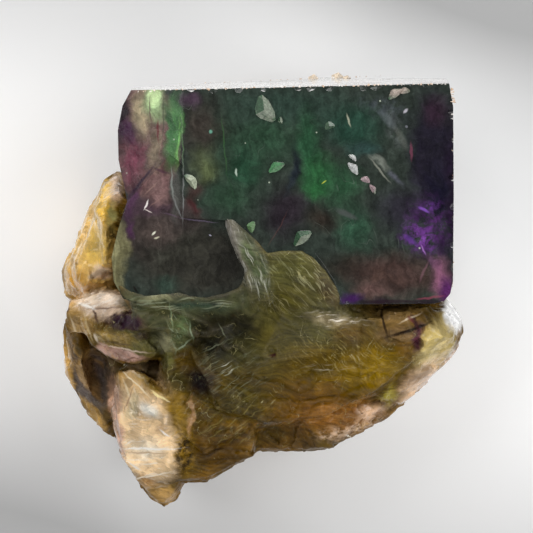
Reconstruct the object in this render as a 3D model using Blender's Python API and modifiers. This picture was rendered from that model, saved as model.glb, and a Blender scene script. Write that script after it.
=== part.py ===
"""Fluorite cube crystal on its broken fluorite base, lying on its back.

Row frame: +Z is the way the display face looks, +Y runs from the pointed lower end to the
cube's upper side, +X to the right of the display face. The origin is under the middle of
the specimen, on the flat broken back that it rests on. Tables are in millimetres.
"""

import math
import random

import bmesh
import bpy
from mathutils import Matrix, Vector

MM = 0.001

# Heights above the rest face
FACE_Z = 42.0
CRYSTAL_BACK_Z = 5.0
STEP_DEPTH = 0.9
LEFT_FACET_DROP = 3.2
LEFT_FACET_START = 0.15
BELOW_REST = 3.0

# How far the cutters of the display face reach above and below it
CUTTER_HEADROOM = 4.0
LEFT_CUTTER_DEPTH = 8.0

# The cube's sides, as seen looking down on the display face
CUBE_LEFT_X = -21.3
STEP_X = -11.6
STEP_TOP_Y = 20.4
CUBE_RIGHT_X = 28.5
CUBE_LOW_Y = -0.4
CUBE_HIGH_LEFT_Y = 31.4
CUBE_HIGH_RIGHT_Y = 32.5
EDGE_BEVEL = 0.35

# Outline of the crystal: sharp upper corners, a worn lower right corner, and a left side
# that bulges, pinches in at mid height and swells again where it meets the base
CRYSTAL_OUTLINE = [
    (-19.4, CUBE_HIGH_LEFT_Y),
    (27.9, CUBE_HIGH_RIGHT_Y),
    (CUBE_RIGHT_X, 29.0),
    (CUBE_RIGHT_X + 0.1, 16.0),
    (CUBE_RIGHT_X, 3.0),
    (28.1, 1.2),
    (27.2, 0.1),
    (25.6, CUBE_LOW_Y + 0.1),
    (12.0, CUBE_LOW_Y),
    (-18.0, CUBE_LOW_Y),
    (-20.6, 0.4),
    (-22.0, 3.0),
    (-22.3, 6.6),
    (-21.3, 10.8),
    (-20.0, 14.8),
    (-20.5, 17.2),
    (CUBE_LEFT_X, 21.0),
    (CUBE_LEFT_X - 0.1, 25.4),
    (-20.7, 29.0),
]

# The lower growth face: everything left of STEP_X below the slanted line, and the dark panel
LOWER_FACE_OUTLINE = [
    (-13.6, 21.9),
    (STEP_X, STEP_TOP_Y),
    (STEP_X, 12.5),
    (-4.6, 12.1),
    (-1.0, 5.5),
    (0.4, -4.0),
    (-26.0, -4.0),
    (-26.0, 9.0),
    (-20.4, 13.2),
    (-19.4, 15.4),
]

# The facet that falls away to the upper left
LEFT_FACET_OUTLINE = [
    (STEP_X, 36.0),
    (STEP_X, STEP_TOP_Y),
    (-13.6, 21.9),
    (-19.4, 15.4),
    (-20.4, 13.2),
    (-26.0, 9.0),
    (-26.0, 36.0),
]

# Broken blocks of the base. Each is a convex lump: a foot ring, a wider shoulder ring that
# follows the outline, and a smaller crown that may be tilted (rise in mm per mm along x, y).
# size is the crown's, as a share of the outline's; flakes is how many flakes were struck off.
BLOCKS = {
    "back_plate": dict(
        outline=[
            (-17.0, 24.0), (-4.0, 28.5), (18.0, 28.0), (26.0, 20.0),
            (26.5, 4.0), (6.0, -8.0), (-20.5, -2.0),
        ],
        foot=-BELOW_REST, shoulder=7.0, crown=12.5, tilt=(0.05, -0.06), size=0.86, flakes=3,
    ),
    "under_core": dict(
        outline=[
            (-22.5, 4.0), (-24.0, -6.0), (-20.5, -18.0), (-10.5, -23.5), (6.0, -21.5),
            (20.5, -13.5), (25.5, -5.0), (16.0, 3.0),
        ],
        foot=-BELOW_REST, shoulder=10.0, crown=23.0, tilt=(0.0, 0.3), size=0.8, flakes=2,
    ),
    "main_mass": dict(
        outline=[
            (-11.5, 1.0), (12.4, 1.5), (26.0, -1.0), (25.5, -9.0), (19.5, -15.0),
            (10.0, -18.5), (0.0, -20.5), (-9.5, -18.0), (-12.5, -8.0),
        ],
        foot=2.0, shoulder=25.0, crown=37.2, tilt=(-0.06, 0.34), size=0.84, flakes=2,
    ),
    "right_ledge": dict(
        outline=[
            (11.0, -0.9), (28.2, -0.9), (30.4, -3.6), (30.6, -6.0), (29.3, -9.0),
            (24.7, -14.3), (20.8, -17.2), (12.0, -14.5),
        ],
        foot=3.5, shoulder=19.0, crown=35.9, tilt=(-0.28, 0.3), size=0.78, flakes=3,
    ),
    "lower_right_lump": dict(
        outline=[
            (3.0, -12.0), (20.6, -13.0), (21.2, -17.0), (18.8, -19.2),
            (15.6, -20.7), (12.7, -22.5), (10.0, -24.2), (3.5, -24.3),
        ],
        foot=2.5, shoulder=16.5, crown=29.6, tilt=(-0.2, 0.55), size=0.74, flakes=4,
    ),
    "bottom_left_mass": dict(
        outline=[
            (-16.5, -12.0), (-1.0, -12.0), (0.4, -18.0), (-0.4, -24.4),
            (-3.4, -25.9), (-8.3, -28.9), (-12.8, -29.0), (-15.5, -26.0),
        ],
        foot=1.5, shoulder=17.0, crown=29.0, tilt=(0.0, 0.55), size=0.84, flakes=1,
    ),
    "bottom_middle_mass": dict(
        outline=[(-5.0, -12.0), (6.0, -11.0), (11.2, -17.7), (10.0, -24.2), (1.0, -23.9), (-3.6, -24.6)],
        foot=1.5, shoulder=14.0, crown=28.6, tilt=(-0.06, 0.6), size=0.72, flakes=3,
    ),
    "frosted_fin": dict(
        outline=[(-5.5, 13.3), (-4.6, 12.8), (0.2, 7.6), (1.4, 0.0), (-1.6, 0.5), (-2.6, 4.4), (-4.1, 8.4)],
        foot=30.0, shoulder=41.8, crown=43.1, tilt=(0.1, 0.0), size=0.6, flakes=1,
    ),
    "panel_sill": dict(
        outline=[
            (-19.8, 1.4), (-17.2, 1.2), (-13.6, 3.0), (-9.6, 2.6), (-4.0, 1.4),
            (0.6, 4.4), (2.6, -2.0), (-8.0, -5.6), (-19.0, -4.4),
        ],
        foot=10.0, shoulder=39.2, crown=40.8, tilt=(0.0, 0.05), size=0.84, flakes=0,
    ),
    "upper_left_rim": dict(
        outline=[
            (-24.1, 16.9), (-21.6, 18.2), (-17.0, 14.0), (-17.5, -2.0),
            (-27.0, -3.4), (-30.0, -0.6), (-30.6, 2.6), (-27.6, 9.2),
        ],
        foot=2.0, shoulder=13.0, crown=25.5, tilt=(0.55, 0.1), size=0.62, flakes=5,
    ),
    "upper_left_flake": dict(
        outline=[(-25.0, 13.4), (-21.6, 15.8), (-18.0, 12.0), (-18.5, 3.4), (-24.8, 3.0)],
        foot=6.0, shoulder=25.0, crown=32.0, tilt=(0.45, 0.15), size=0.55, flakes=3,
    ),
    "bright_cleavage": dict(
        outline=[(-29.2, -1.0), (-24.0, 0.6), (-17.5, 0.6), (-13.5, -3.6), (-20.5, -6.0), (-29.8, -5.6)],
        foot=6.0, shoulder=27.0, crown=33.5, tilt=(0.42, 0.5), size=0.66, flakes=3,
    ),
    "purple_knob": dict(
        outline=[
            (-26.5, -2.6), (-17.0, -0.8), (-11.0, -1.2), (-10.6, -7.8),
            (-15.8, -9.6), (-21.4, -10.4), (-26.0, -7.6),
        ],
        foot=8.0, shoulder=29.5, crown=36.5, tilt=(0.22, 0.6), size=0.66, flakes=4,
    ),
    "green_lump": dict(
        outline=[(-15.3, 0.6), (-10.4, 0.2), (-9.4, -5.0), (-9.9, -9.2), (-13.4, -10.2), (-16.2, -5.0)],
        foot=18.0, shoulder=35.0, crown=39.4, tilt=(-0.1, 0.25), size=0.68, flakes=3,
    ),
    "left_core": dict(
        outline=[
            (-27.4, -3.0), (-12.0, -1.0), (-10.0, -14.0),
            (-13.0, -22.0), (-21.5, -21.5), (-26.5, -12.0),
        ],
        foot=1.0, shoulder=10.0, crown=21.0, tilt=(0.3, 0.1), size=0.74, flakes=3,
    ),
    "lower_left_rim": dict(
        outline=[
            (-30.2, -6.4), (-29.4, -3.4), (-23.5, -3.6), (-19.5, -18.0),
            (-21.6, -24.0), (-24.0, -21.4), (-27.1, -18.3), (-29.9, -13.0),
        ],
        foot=2.5, shoulder=12.5, crown=17.5, tilt=(0.1, 0.1), size=0.62, flakes=4,
    ),
    "spike": dict(
        outline=[(-12.2, -15.2), (-11.6, -14.4), (-11.0, -16.0), (-10.7, -21.6), (-12.2, -21.2)],
        foot=10.0, shoulder=31.0, crown=32.6, tilt=(0.0, 0.14), size=0.5, flakes=0,
    ),
    "shelf_chip": dict(
        outline=[(17.4, -1.2), (25.4, -1.4), (24.6, -4.2), (22.0, -6.8), (17.8, -5.4)],
        foot=18.0, shoulder=36.8, crown=38.9, tilt=(0.06, -0.1), size=0.7, flakes=2,
    ),
    "middle_saddle": dict(
        outline=[
            (-14.5, -4.0), (-4.0, -2.0), (0.5, -9.0), (-1.5, -20.0),
            (-8.5, -24.0), (-13.0, -21.5), (-15.5, -12.0),
        ],
        foot=6.0, shoulder=27.5, crown=33.4, tilt=(0.04, 0.26), size=0.86, flakes=0,
    ),
}

# Lumps with a shape of their own, by their corners, as x, y and height
CORNERED_LUMPS = {
    # the frosted growth that laps over the crystal's lower edge and runs down into the base
    "frosted_growth": [
        (0.0, 7.9, 41.5),
        (4.8, 8.5, 41.5),
        (8.6, 8.3, 41.5),
        (10.9, 5.0, 41.6),
        (12.7, -0.4, 41.6),
        (1.2, 6.4, 42.25),
        (7.6, 6.7, 42.3),
        (10.8, 0.6, 42.6),
        (3.2, -1.4, 43.3),
        (-1.8, 1.0, 42.4),
        (14.6, -6.4, 38.4),
        (9.6, -15.4, 33.4),
        (-3.0, -16.0, 33.2),
        (-8.6, -7.6, 37.2),
        (-0.4, -9.2, 40.0),
        (8.2, -8.0, 40.2),
        (10.0, 2.0, 20.0),
        (-3.0, 2.0, 20.0),
        (6.0, -12.0, 20.0),
        (-4.0, -12.0, 20.0),
    ],
    # the pearly prong: a broad cleavage face that falls to the tip, its flanks and its foot
    "prong": [
        (-21.5, -11.4, 28.6),
        (-19.4, -10.9, 30.2),
        (-15.2, -14.2, 32.2),
        (-12.7, -15.6, 31.9),
        (-11.7, -21.0, 30.8),
        (-12.2, -26.6, 27.0),
        (-13.6, -30.6, 21.6),
        (-15.2, -32.0, 19.4),
        (-17.6, -30.0, 20.8),
        (-20.4, -25.4, 24.2),
        (-21.9, -18.6, 26.6),
        (-22.6, -12.2, 22.0),
        (-23.0, -18.0, 20.5),
        (-21.6, -24.6, 19.0),
        (-19.0, -28.7, 17.0),
        (-16.9, -32.0, 15.5),
        (-14.8, -33.0, 15.0),
        (-13.1, -32.0, 15.5),
        (-11.5, -29.4, 17.0),
        (-10.5, -22.0, 18.0),
        (-20.0, -13.0, 4.0),
        (-20.2, -22.0, 4.0),
        (-16.2, -29.0, 4.5),
        (-13.2, -27.5, 4.0),
        (-11.0, -16.0, 4.0),
    ],
}
RING_JITTER = 0.3
SHOULDER_JITTER = 2.4
FOOT_SHARE = (0.72, 0.84)
CROWN_SHARE_JITTER = 0.05
FLAKE_DEPTH = (0.06, 0.15)

# Fluorite splits along the eight octahedral planes; each block of the base is turned a little
CLEAVAGE_UP = [(1, 1, 1), (-1, 1, 1), (1, -1, 1), (-1, -1, 1)]
CLEAVAGE_DOWN = [(1, 1, -1), (-1, 1, -1), (1, -1, -1), (-1, -1, -1)]
CLEAVAGE_WANDER = 0.16
BLOCK_TURN = math.radians(28)
UNDERCUTS_PER_BLOCK = 2

# Corners of the crystal lost along cleavage: corner, direction, and how far along each edge
LOST_CORNERS = [
    ((-20.0, CUBE_HIGH_LEFT_Y, CRYSTAL_BACK_Z), (-1, 1, -1), 24.5),
    ((CUBE_RIGHT_X, CUBE_HIGH_RIGHT_Y, CRYSTAL_BACK_Z), (1, 1, -1), 17.0),
]

# Shallow growth terraces on the crystal's right and upper sides: low and high corners
UPPER_TERRACE_DEPTH = 0.15
TERRACES = [
    ((CUBE_RIGHT_X - 0.55, 6.0, 2.0), (CUBE_RIGHT_X + 2.0, 22.5, 24.0)),
    ((CUBE_RIGHT_X - 1.1, -2.0, 2.0), (CUBE_RIGHT_X + 2.0, 9.5, 16.5)),
    ((-6.0, CUBE_HIGH_RIGHT_Y - 0.85, 2.0), (7.0, CUBE_HIGH_RIGHT_Y + 2.0, 18.0)),
    ((13.5, CUBE_HIGH_RIGHT_Y - 0.7, 2.0), (24.0, CUBE_HIGH_RIGHT_Y + 2.0, 14.5)),
]

# Pits and cracks in the base: place, radii, turn about z in degrees
PITS = [
    ((1.6, -7.6, 42.2), (0.9, 1.3, 2.8), 10.0),
    ((22.6, -4.9, 39.2), (3.4, 0.34, 3.0), 18.0),
    ((18.7, -3.6, 39.8), (0.36, 2.6, 2.8), 8.0),
    ((23.6, -6.8, 37.8), (1.3, 1.6, 2.6), 0.0),
    ((-24.6, -13.2, 22.5), (2.6, 5.6, 10.0), 16.0),
]
PIT_WOBBLE = (0.86, 1.1)

# Small crystals grown on the display face: x, y, length, width, height, turn in degrees
FACE_CRYSTALS = [
    (0.5, 28.6, 4.3, 3.0, 1.3, 118.0),
    (2.8, 27.0, 1.1, 0.8, 0.6, 100.0),
    (10.1, 26.2, 1.5, 1.3, 0.5, 20.0),
    (2.2, 20.1, 2.6, 1.6, 1.0, 28.0),
    (-10.4, 18.0, 2.6, 1.5, 1.1, -52.0),
    (-1.5, 11.2, 1.7, 1.4, 0.9, 75.0),
    (6.0, 9.6, 3.2, 2.1, 1.2, 38.0),
    (13.6, 21.5, 1.4, 0.8, 0.5, -40.0),
    (13.7, 19.9, 2.2, 1.3, 0.8, -50.0),
    (15.5, 18.2, 1.4, 1.1, 0.6, -20.0),
    (16.6, 16.8, 1.6, 0.9, 0.6, -60.0),
    (19.8, 31.0, 2.4, 1.4, 1.0, 35.0),
    (21.3, 31.4, 1.5, 1.1, 0.9, 10.0),
]
CORNER_UP = math.atan(math.sqrt(2.0))
LEAN_SPREAD = 0.2

# Small crystals on the upper side, which show over the back edge: x, height above rest, size
UPPER_SIDE_CRYSTALS = [
    (7.9, 11.0, 1.8),
    (11.6, 9.0, 2.1),
    (13.0, 12.0, 1.4),
]
SIDE_CRYSTAL_EDGE = 0.6
SIDE_CRYSTAL_LEAN = math.radians(45)
SIDE_CRYSTAL_LEAN_STEP = math.radians(8)
SIDE_CRYSTAL_YAW = 0.62

# Chips out of the worn edges: start, end, how many
CHIPPED_EDGES = [
    ((-18.0, CUBE_HIGH_LEFT_Y, FACE_Z), (27.0, CUBE_HIGH_RIGHT_Y, FACE_Z), 13),
    ((CUBE_RIGHT_X, 30.5, FACE_Z), (CUBE_RIGHT_X, 3.0, FACE_Z), 8),
    ((12.0, CUBE_LOW_Y, FACE_Z), (25.0, CUBE_LOW_Y, FACE_Z), 3),
]
CHIP_RADIUS = (0.35, 0.85)
CHIP_STRETCH = (0.8, 1.8)
BEVEL_ANGLE = math.radians(40)

# Points closer than this are one point, when an outline is made solid
WELD = 0.001

REST_CUTTER_SIDE = 100.0
REST_CUTTER_DEPTH = 20.0

SEED = 7
FLUORITE_COLOUR = (0.16, 0.2, 0.1, 1.0)
FLUORITE_ROUGHNESS = 0.2
FLUORITE_IOR = 1.434


def clear_scene():
    for old in list(bpy.data.objects):
        bpy.data.objects.remove(old)


def new_collection(name):
    collection = bpy.data.collections.new(name)
    bpy.context.scene.collection.children.link(collection)
    return collection


def link_mesh(name, bm, collection, helper=False):
    """Makes an object from bm, whose points are in millimetres."""
    bmesh.ops.scale(bm, vec=(MM, MM, MM), verts=bm.verts)
    bmesh.ops.recalc_face_normals(bm, faces=bm.faces)
    mesh = bpy.data.meshes.new(name)
    bm.to_mesh(mesh)
    bm.free()
    made = bpy.data.objects.new(name, mesh)
    collection.objects.link(made)
    if helper:
        made.hide_render = True
        made.display_type = "WIRE"
    return made


def prism(outline, low, high):
    """A bmesh prism over a flat outline, from a filled 2D curve with an extrusion."""
    curve = bpy.data.curves.new("outline", "CURVE")
    curve.dimensions = "2D"
    curve.fill_mode = "BOTH"
    curve.extrude = (high - low) / 2
    spline = curve.splines.new("POLY")
    spline.points.add(len(outline) - 1)
    for point, (x, y) in zip(spline.points, outline):
        point.co = (x, y, 0.0, 1.0)
    spline.use_cyclic_u = True
    guide = bpy.data.objects.new("outline", curve)
    bpy.context.scene.collection.objects.link(guide)
    graph = bpy.context.evaluated_depsgraph_get()
    mesh = bpy.data.meshes.new_from_object(guide.evaluated_get(graph))
    bm = bmesh.new()
    bm.from_mesh(mesh)
    bmesh.ops.remove_doubles(bm, verts=bm.verts, dist=WELD)
    bmesh.ops.translate(bm, vec=(0.0, 0.0, (high + low) / 2), verts=bm.verts)
    bpy.data.objects.remove(guide)
    bpy.data.curves.remove(curve)
    bpy.data.meshes.remove(mesh)
    return bm


def cut_plane(bm, point, normal):
    """Takes off what lies beyond the plane, and closes the cut with a flat face."""
    cut = bmesh.ops.bisect_plane(
        bm,
        geom=bm.verts[:] + bm.edges[:] + bm.faces[:],
        plane_co=point,
        plane_no=normal,
        clear_outer=True,
    )
    rim = [item for item in cut["geom_cut"] if isinstance(item, bmesh.types.BMEdge)]
    if rim:
        bmesh.ops.contextual_create(bm, geom=rim)


def middle_of(outline):
    return Vector((sum(x for x, _ in outline), sum(y for _, y in outline))) / len(outline)


def hull_of(corners):
    bm = bmesh.new()
    for corner in corners:
        bm.verts.new(corner)
    hull = bmesh.ops.convex_hull(bm, input=bm.verts)
    inside = [item for item in hull["geom_interior"] if isinstance(item, bmesh.types.BMVert)]
    bmesh.ops.delete(bm, geom=inside, context="VERTS")
    return bm


def block_mesh(outline, foot, shoulder, crown, tilt, size, flakes, rng):
    """The convex hull of a foot ring, a shoulder ring and a tilted crown, less its flakes."""
    middle = middle_of(outline)
    corners = []
    for x, y in outline:
        away = Vector((x, y)) - middle
        low = middle + away * rng.uniform(*FOOT_SHARE)
        high = middle + away * (size + rng.uniform(-CROWN_SHARE_JITTER, CROWN_SHARE_JITTER))
        rise = tilt[0] * (high.x - middle.x) + tilt[1] * (high.y - middle.y)
        corners.append((low.x, low.y, foot))
        corners.append((x, y, shoulder + rng.uniform(-SHOULDER_JITTER, SHOULDER_JITTER)))
        corners.append((high.x, high.y, crown + rise + rng.uniform(-RING_JITTER, RING_JITTER)))
    bm = hull_of(corners)
    turn = Matrix.Rotation(rng.uniform(-BLOCK_TURN, BLOCK_TURN), 3, "Z")
    for number in range(flakes):
        strike_flake(bm, turn @ Vector(CLEAVAGE_UP[(number + rng.randrange(2)) % 4]), rng)
    for _ in range(UNDERCUTS_PER_BLOCK):
        strike_flake(bm, turn @ Vector(rng.choice(CLEAVAGE_DOWN)), rng)
    return bm


def strike_flake(bm, direction, rng):
    """Takes a flat flake off the side that faces the direction."""
    wander = Vector((rng.uniform(-1, 1), rng.uniform(-1, 1), rng.uniform(-1, 1))) * CLEAVAGE_WANDER
    normal = (direction.normalized() + wander).normalized()
    reach = [vertex.co.dot(normal) for vertex in bm.verts]
    depth = (max(reach) - min(reach)) * rng.uniform(*FLAKE_DEPTH)
    cut_plane(bm, normal * (max(reach) - depth), normal)


def make_blocks(collection):
    for number, (name, block) in enumerate(BLOCKS.items()):
        bm = block_mesh(rng=random.Random(SEED + number), **block)
        link_mesh("block_" + name, bm, collection, helper=True)
    for name, corners in CORNERED_LUMPS.items():
        link_mesh("lump_" + name, hull_of(corners), collection, helper=True)


def make_face_cutters(collection):
    """The lower growth face is one flat step down; the left facet falls away from the step."""
    above = FACE_Z + CUTTER_HEADROOM
    link_mesh("cut_lower_face", prism(LOWER_FACE_OUTLINE, FACE_Z - STEP_DEPTH, above), collection, True)
    wedge = prism(LEFT_FACET_OUTLINE, FACE_Z - LEFT_CUTTER_DEPTH, above)
    run = STEP_X - CUBE_LEFT_X
    cut_plane(wedge, (STEP_X, 0.0, FACE_Z - LEFT_FACET_START), (LEFT_FACET_DROP, 0.0, -run))
    link_mesh("cut_left_facet", wedge, collection, True)


def make_chips(collection):
    rng = random.Random(SEED)
    for edge, (start, end, count) in enumerate(CHIPPED_EDGES):
        for number in range(count):
            along = (number + rng.uniform(0.1, 0.9)) / count
            bm = bmesh.new()
            bmesh.ops.create_icosphere(bm, subdivisions=1, radius=rng.uniform(*CHIP_RADIUS))
            length, width = rng.uniform(*CHIP_STRETCH), rng.uniform(*CHIP_STRETCH)
            stretch = Matrix.Diagonal((length, width, CHIP_STRETCH[0], 1.0))
            turn = Matrix.Rotation(rng.uniform(0.0, math.tau), 4, Vector((rng.random(), rng.random(), 1.0)))
            bmesh.ops.transform(bm, matrix=turn @ stretch, verts=bm.verts)
            place = Vector(start).lerp(Vector(end), along)
            bmesh.ops.translate(bm, vec=place, verts=bm.verts)
            link_mesh(f"chip_{edge}_{number:02d}", bm, collection, helper=True)


def make_terraces(collection):
    for number, (low, high) in enumerate(TERRACES):
        bm = bmesh.new()
        bmesh.ops.create_cube(bm, size=1.0)
        size = Vector(high) - Vector(low)
        bmesh.ops.scale(bm, vec=size, verts=bm.verts)
        bmesh.ops.translate(bm, vec=Vector(low) + size / 2, verts=bm.verts)
        link_mesh(f"terrace_{number}", bm, collection, helper=True)


def make_pits(collection):
    rng = random.Random(SEED)
    for number, (place, radii, turn) in enumerate(PITS):
        bm = bmesh.new()
        bmesh.ops.create_icosphere(bm, subdivisions=2, radius=1.0)
        for vertex in bm.verts:
            vertex.co *= rng.uniform(*PIT_WOBBLE)
        bmesh.ops.scale(bm, vec=radii, verts=bm.verts)
        bmesh.ops.rotate(bm, matrix=Matrix.Rotation(math.radians(turn), 3, "Z"), verts=bm.verts)
        bmesh.ops.translate(bm, vec=place, verts=bm.verts)
        link_mesh(f"pit_{number}", bm, collection, helper=True)


def face_height(x, y):
    """Height of the display face under a point, for what grows on it."""
    return FACE_Z - STEP_DEPTH if x < STEP_X and y < STEP_TOP_Y else FACE_Z


def make_face_crystals(collection):
    """Small cubes that stand on the face with one corner up, half sunk in it."""
    edge_on = Matrix.Rotation(math.radians(45), 3, "Z")
    rng = random.Random(SEED)
    for number, (x, y, length, width, height, turn) in enumerate(FACE_CRYSTALS):
        bm = bmesh.new()
        bmesh.ops.create_cube(bm, size=1.0)
        lean = CORNER_UP + rng.uniform(-LEAN_SPREAD, LEAN_SPREAD)
        bmesh.ops.rotate(bm, matrix=Matrix.Rotation(lean, 3, "X") @ edge_on, verts=bm.verts)
        spread = [max(abs(vertex.co[axis]) for vertex in bm.verts) * 2 for axis in range(3)]
        size = (length / spread[0], width / spread[1], 2 * height / spread[2])
        bmesh.ops.scale(bm, vec=size, verts=bm.verts)
        bmesh.ops.rotate(bm, matrix=Matrix.Rotation(math.radians(turn), 3, "Z"), verts=bm.verts)
        bmesh.ops.translate(bm, vec=(x, y, face_height(x, y)), verts=bm.verts)
        link_mesh(f"grown_crystal_{number:02d}", bm, collection, helper=True)


def make_side_crystals(collection):
    """Small cubes, corner outward, half sunk in the crystal's upper side."""
    for number, (x, z, size) in enumerate(UPPER_SIDE_CRYSTALS):
        bm = bmesh.new()
        bmesh.ops.create_cube(bm, size=size * SIDE_CRYSTAL_EDGE)
        lean = Matrix.Rotation(SIDE_CRYSTAL_LEAN + SIDE_CRYSTAL_LEAN_STEP * number, 3, "X")
        yaw = Matrix.Rotation(SIDE_CRYSTAL_YAW, 3, "Z")
        bmesh.ops.rotate(bm, matrix=lean @ yaw, verts=bm.verts)
        bmesh.ops.translate(bm, vec=(x, upper_side_y(x), z), verts=bm.verts)
        link_mesh(f"side_crystal_{number}", bm, collection, helper=True)


def upper_side_y(x):
    """Where the upper side is, above x: it runs up a little from left to right."""
    left_x, left_y = CRYSTAL_OUTLINE[0]
    right_x, right_y = CRYSTAL_OUTLINE[1]
    return left_y + (right_y - left_y) * (x - left_x) / (right_x - left_x) - UPPER_TERRACE_DEPTH


def make_rest_cutter(collection):
    """Everything below the rest face goes, which leaves the flat broken back."""
    bm = bmesh.new()
    bmesh.ops.create_cube(bm, size=1.0)
    bmesh.ops.scale(bm, vec=(REST_CUTTER_SIDE, REST_CUTTER_SIDE, REST_CUTTER_DEPTH), verts=bm.verts)
    bmesh.ops.translate(bm, vec=(0.0, 0.0, -REST_CUTTER_DEPTH / 2), verts=bm.verts)
    return link_mesh("cut_rest_face", bm, collection, helper=True)


def fluorite_material():
    material = bpy.data.materials.new("fluorite")
    material.use_nodes = True
    shader = material.node_tree.nodes["Principled BSDF"]
    shader.inputs["Base Color"].default_value = FLUORITE_COLOUR
    shader.inputs["Roughness"].default_value = FLUORITE_ROUGHNESS
    shader.inputs["Metallic"].default_value = 0.0
    shader.inputs["IOR"].default_value = FLUORITE_IOR
    return material


def add_boolean(target, name, operation, collection=None, other=None):
    modifier = target.modifiers.new(name, "BOOLEAN")
    modifier.operation = operation
    modifier.solver = "EXACT"
    if collection is not None:
        modifier.operand_type = "COLLECTION"
        modifier.collection = collection
    else:
        modifier.object = other


def crystal_body():
    """The outline's prism, less the two back corners that are lost."""
    bm = prism(CRYSTAL_OUTLINE, CRYSTAL_BACK_Z, FACE_Z)
    for corner, direction, legs in LOST_CORNERS:
        normal = Vector(direction).normalized()
        cut_plane(bm, Vector(corner) - Vector((direction[0] * legs, 0.0, 0.0)), normal)
    return bm


def make_specimen():
    parts = new_collection("fluorite_cube_on_base")
    face_cutters = new_collection("face_cutters")
    blocks = new_collection("base_blocks")
    pits = new_collection("pits")
    grown = new_collection("grown_crystals")
    rest = new_collection("rest_cutter")
    make_face_cutters(face_cutters)
    make_terraces(face_cutters)
    make_chips(face_cutters)
    make_blocks(blocks)
    make_pits(pits)
    make_face_crystals(grown)
    make_side_crystals(grown)
    rest_cutter = make_rest_cutter(rest)

    specimen = link_mesh("fluorite_specimen", crystal_body(), parts)
    specimen.data.materials.append(fluorite_material())
    bevel = specimen.modifiers.new("worn_edges", "BEVEL")
    bevel.width = EDGE_BEVEL * MM
    bevel.segments = 1
    bevel.limit_method = "ANGLE"
    bevel.angle_limit = BEVEL_ANGLE
    add_boolean(specimen, "steps_and_chips", "DIFFERENCE", collection=face_cutters)
    add_boolean(specimen, "base", "UNION", collection=blocks)
    add_boolean(specimen, "pits", "DIFFERENCE", collection=pits)
    add_boolean(specimen, "grown_crystals", "UNION", collection=grown)
    add_boolean(specimen, "flat_back", "DIFFERENCE", other=rest_cutter)
    return specimen


clear_scene()
make_specimen()
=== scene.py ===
"""Looks of a fluorite specimen: a dark green and purple cube crystal on its broken base.

The specimen lies on its flat back on a pale floor, and the camera looks down on the display
face. Lengths are in millimetres in the tables and are turned to metres where they are used.
"""

import math
import random
from collections import namedtuple

import bmesh
import bpy
import numpy as np
from mathutils import Matrix, Vector, noise
from mathutils.bvhtree import BVHTree


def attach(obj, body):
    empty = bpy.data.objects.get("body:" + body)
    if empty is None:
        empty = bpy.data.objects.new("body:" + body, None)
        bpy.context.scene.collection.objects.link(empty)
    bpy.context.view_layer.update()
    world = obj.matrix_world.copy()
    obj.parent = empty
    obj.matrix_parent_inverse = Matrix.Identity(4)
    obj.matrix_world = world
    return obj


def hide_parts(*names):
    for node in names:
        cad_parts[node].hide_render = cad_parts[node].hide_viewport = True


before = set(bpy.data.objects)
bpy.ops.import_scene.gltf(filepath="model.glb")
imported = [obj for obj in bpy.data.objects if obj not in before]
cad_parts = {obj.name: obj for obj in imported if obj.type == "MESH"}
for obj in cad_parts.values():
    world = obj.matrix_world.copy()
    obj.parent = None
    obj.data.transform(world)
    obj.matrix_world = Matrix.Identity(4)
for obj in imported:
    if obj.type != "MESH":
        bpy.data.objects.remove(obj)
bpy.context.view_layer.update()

MM = 0.001
NODE = "fluorite_specimen"
BODY = "root"

# Camera: far off, looking down on the display face from a little towards its upper side
AIM = Vector((0.76, 3.94, 20.0))
CAMERA_DISTANCE = 1200.0
CAMERA_TILT = math.radians(3.4)
FRAME_WIDTH = 80.76
SENSOR = 36.0
PHOTO_SIDE = 533

# The crystal, as in the solid: its outline as seen from the camera, and its heights
FACE_Z = 42.0
CRYSTAL_BACK_Z = 5.0
CRYSTAL_OUTLINE = [
    (-19.4, 31.4), (27.9, 32.5), (28.5, 29.0), (28.6, 16.0), (28.5, 3.0), (28.1, 1.2), (27.2, 0.1),
    (25.6, -0.3), (12.0, -0.4), (-18.0, -0.4), (-20.6, 0.4), (-22.0, 3.0), (-22.3, 6.6),
    (-21.3, 10.8), (-20.0, 14.8), (-20.5, 17.2), (-21.3, 21.0), (-21.4, 25.4), (-20.7, 29.0),
]
CRYSTAL_MIDDLE = Vector((4.0, 16.0))
FACE_CLEARANCE = 0.02
OUTLINE_CLEARANCE = 0.03
ABOVE_ALL = 60.0

# The bodies kept of the cut solid, by how far across they are, in mm
GROWN_CRYSTAL_SPAN = (0.3, 6.0)
BASE_SPAN = (9.0, 100.0)

VOXEL = 0.37
CREASE_ANGLE = math.radians(38)
SOCKET_REACH = 0.5
SOCKET_DEPTH = 0.6
WELD = 1e-6
SEED = 11
noise.seed_set(SEED)


def srgb(red, green, blue):
    """Linear colour of an 8-bit screen colour."""
    shares = [value / 255 for value in (red, green, blue)]
    return tuple(s / 12.92 if s <= 0.04045 else ((s + 0.055) / 1.055) ** 2.4 for s in shares) + (1.0,)


def at_pixel(px, py, height):
    """The point of the row frame, in mm, that the camera sees at a photograph pixel."""
    across = (px - PHOTO_SIDE / 2) / PHOTO_SIDE
    down = (py - PHOTO_SIDE / 2) / PHOTO_SIDE
    scale = FRAME_WIDTH * (CAMERA_DISTANCE - (height - AIM.z)) / CAMERA_DISTANCE
    y = AIM.y + (-down * scale + (height - AIM.z) * math.sin(CAMERA_TILT)) / math.cos(CAMERA_TILT)
    return Vector((AIM.x + across * scale, y, height))


MM_PER_PIXEL = FRAME_WIDTH / PHOTO_SIDE


# Meshes

def clamped(value):
    return max(0.0, min(1.0, value))


def placed(name, data):
    """A new object in the scene."""
    made = bpy.data.objects.new(name, data)
    bpy.context.scene.collection.objects.link(made)
    return made


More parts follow.
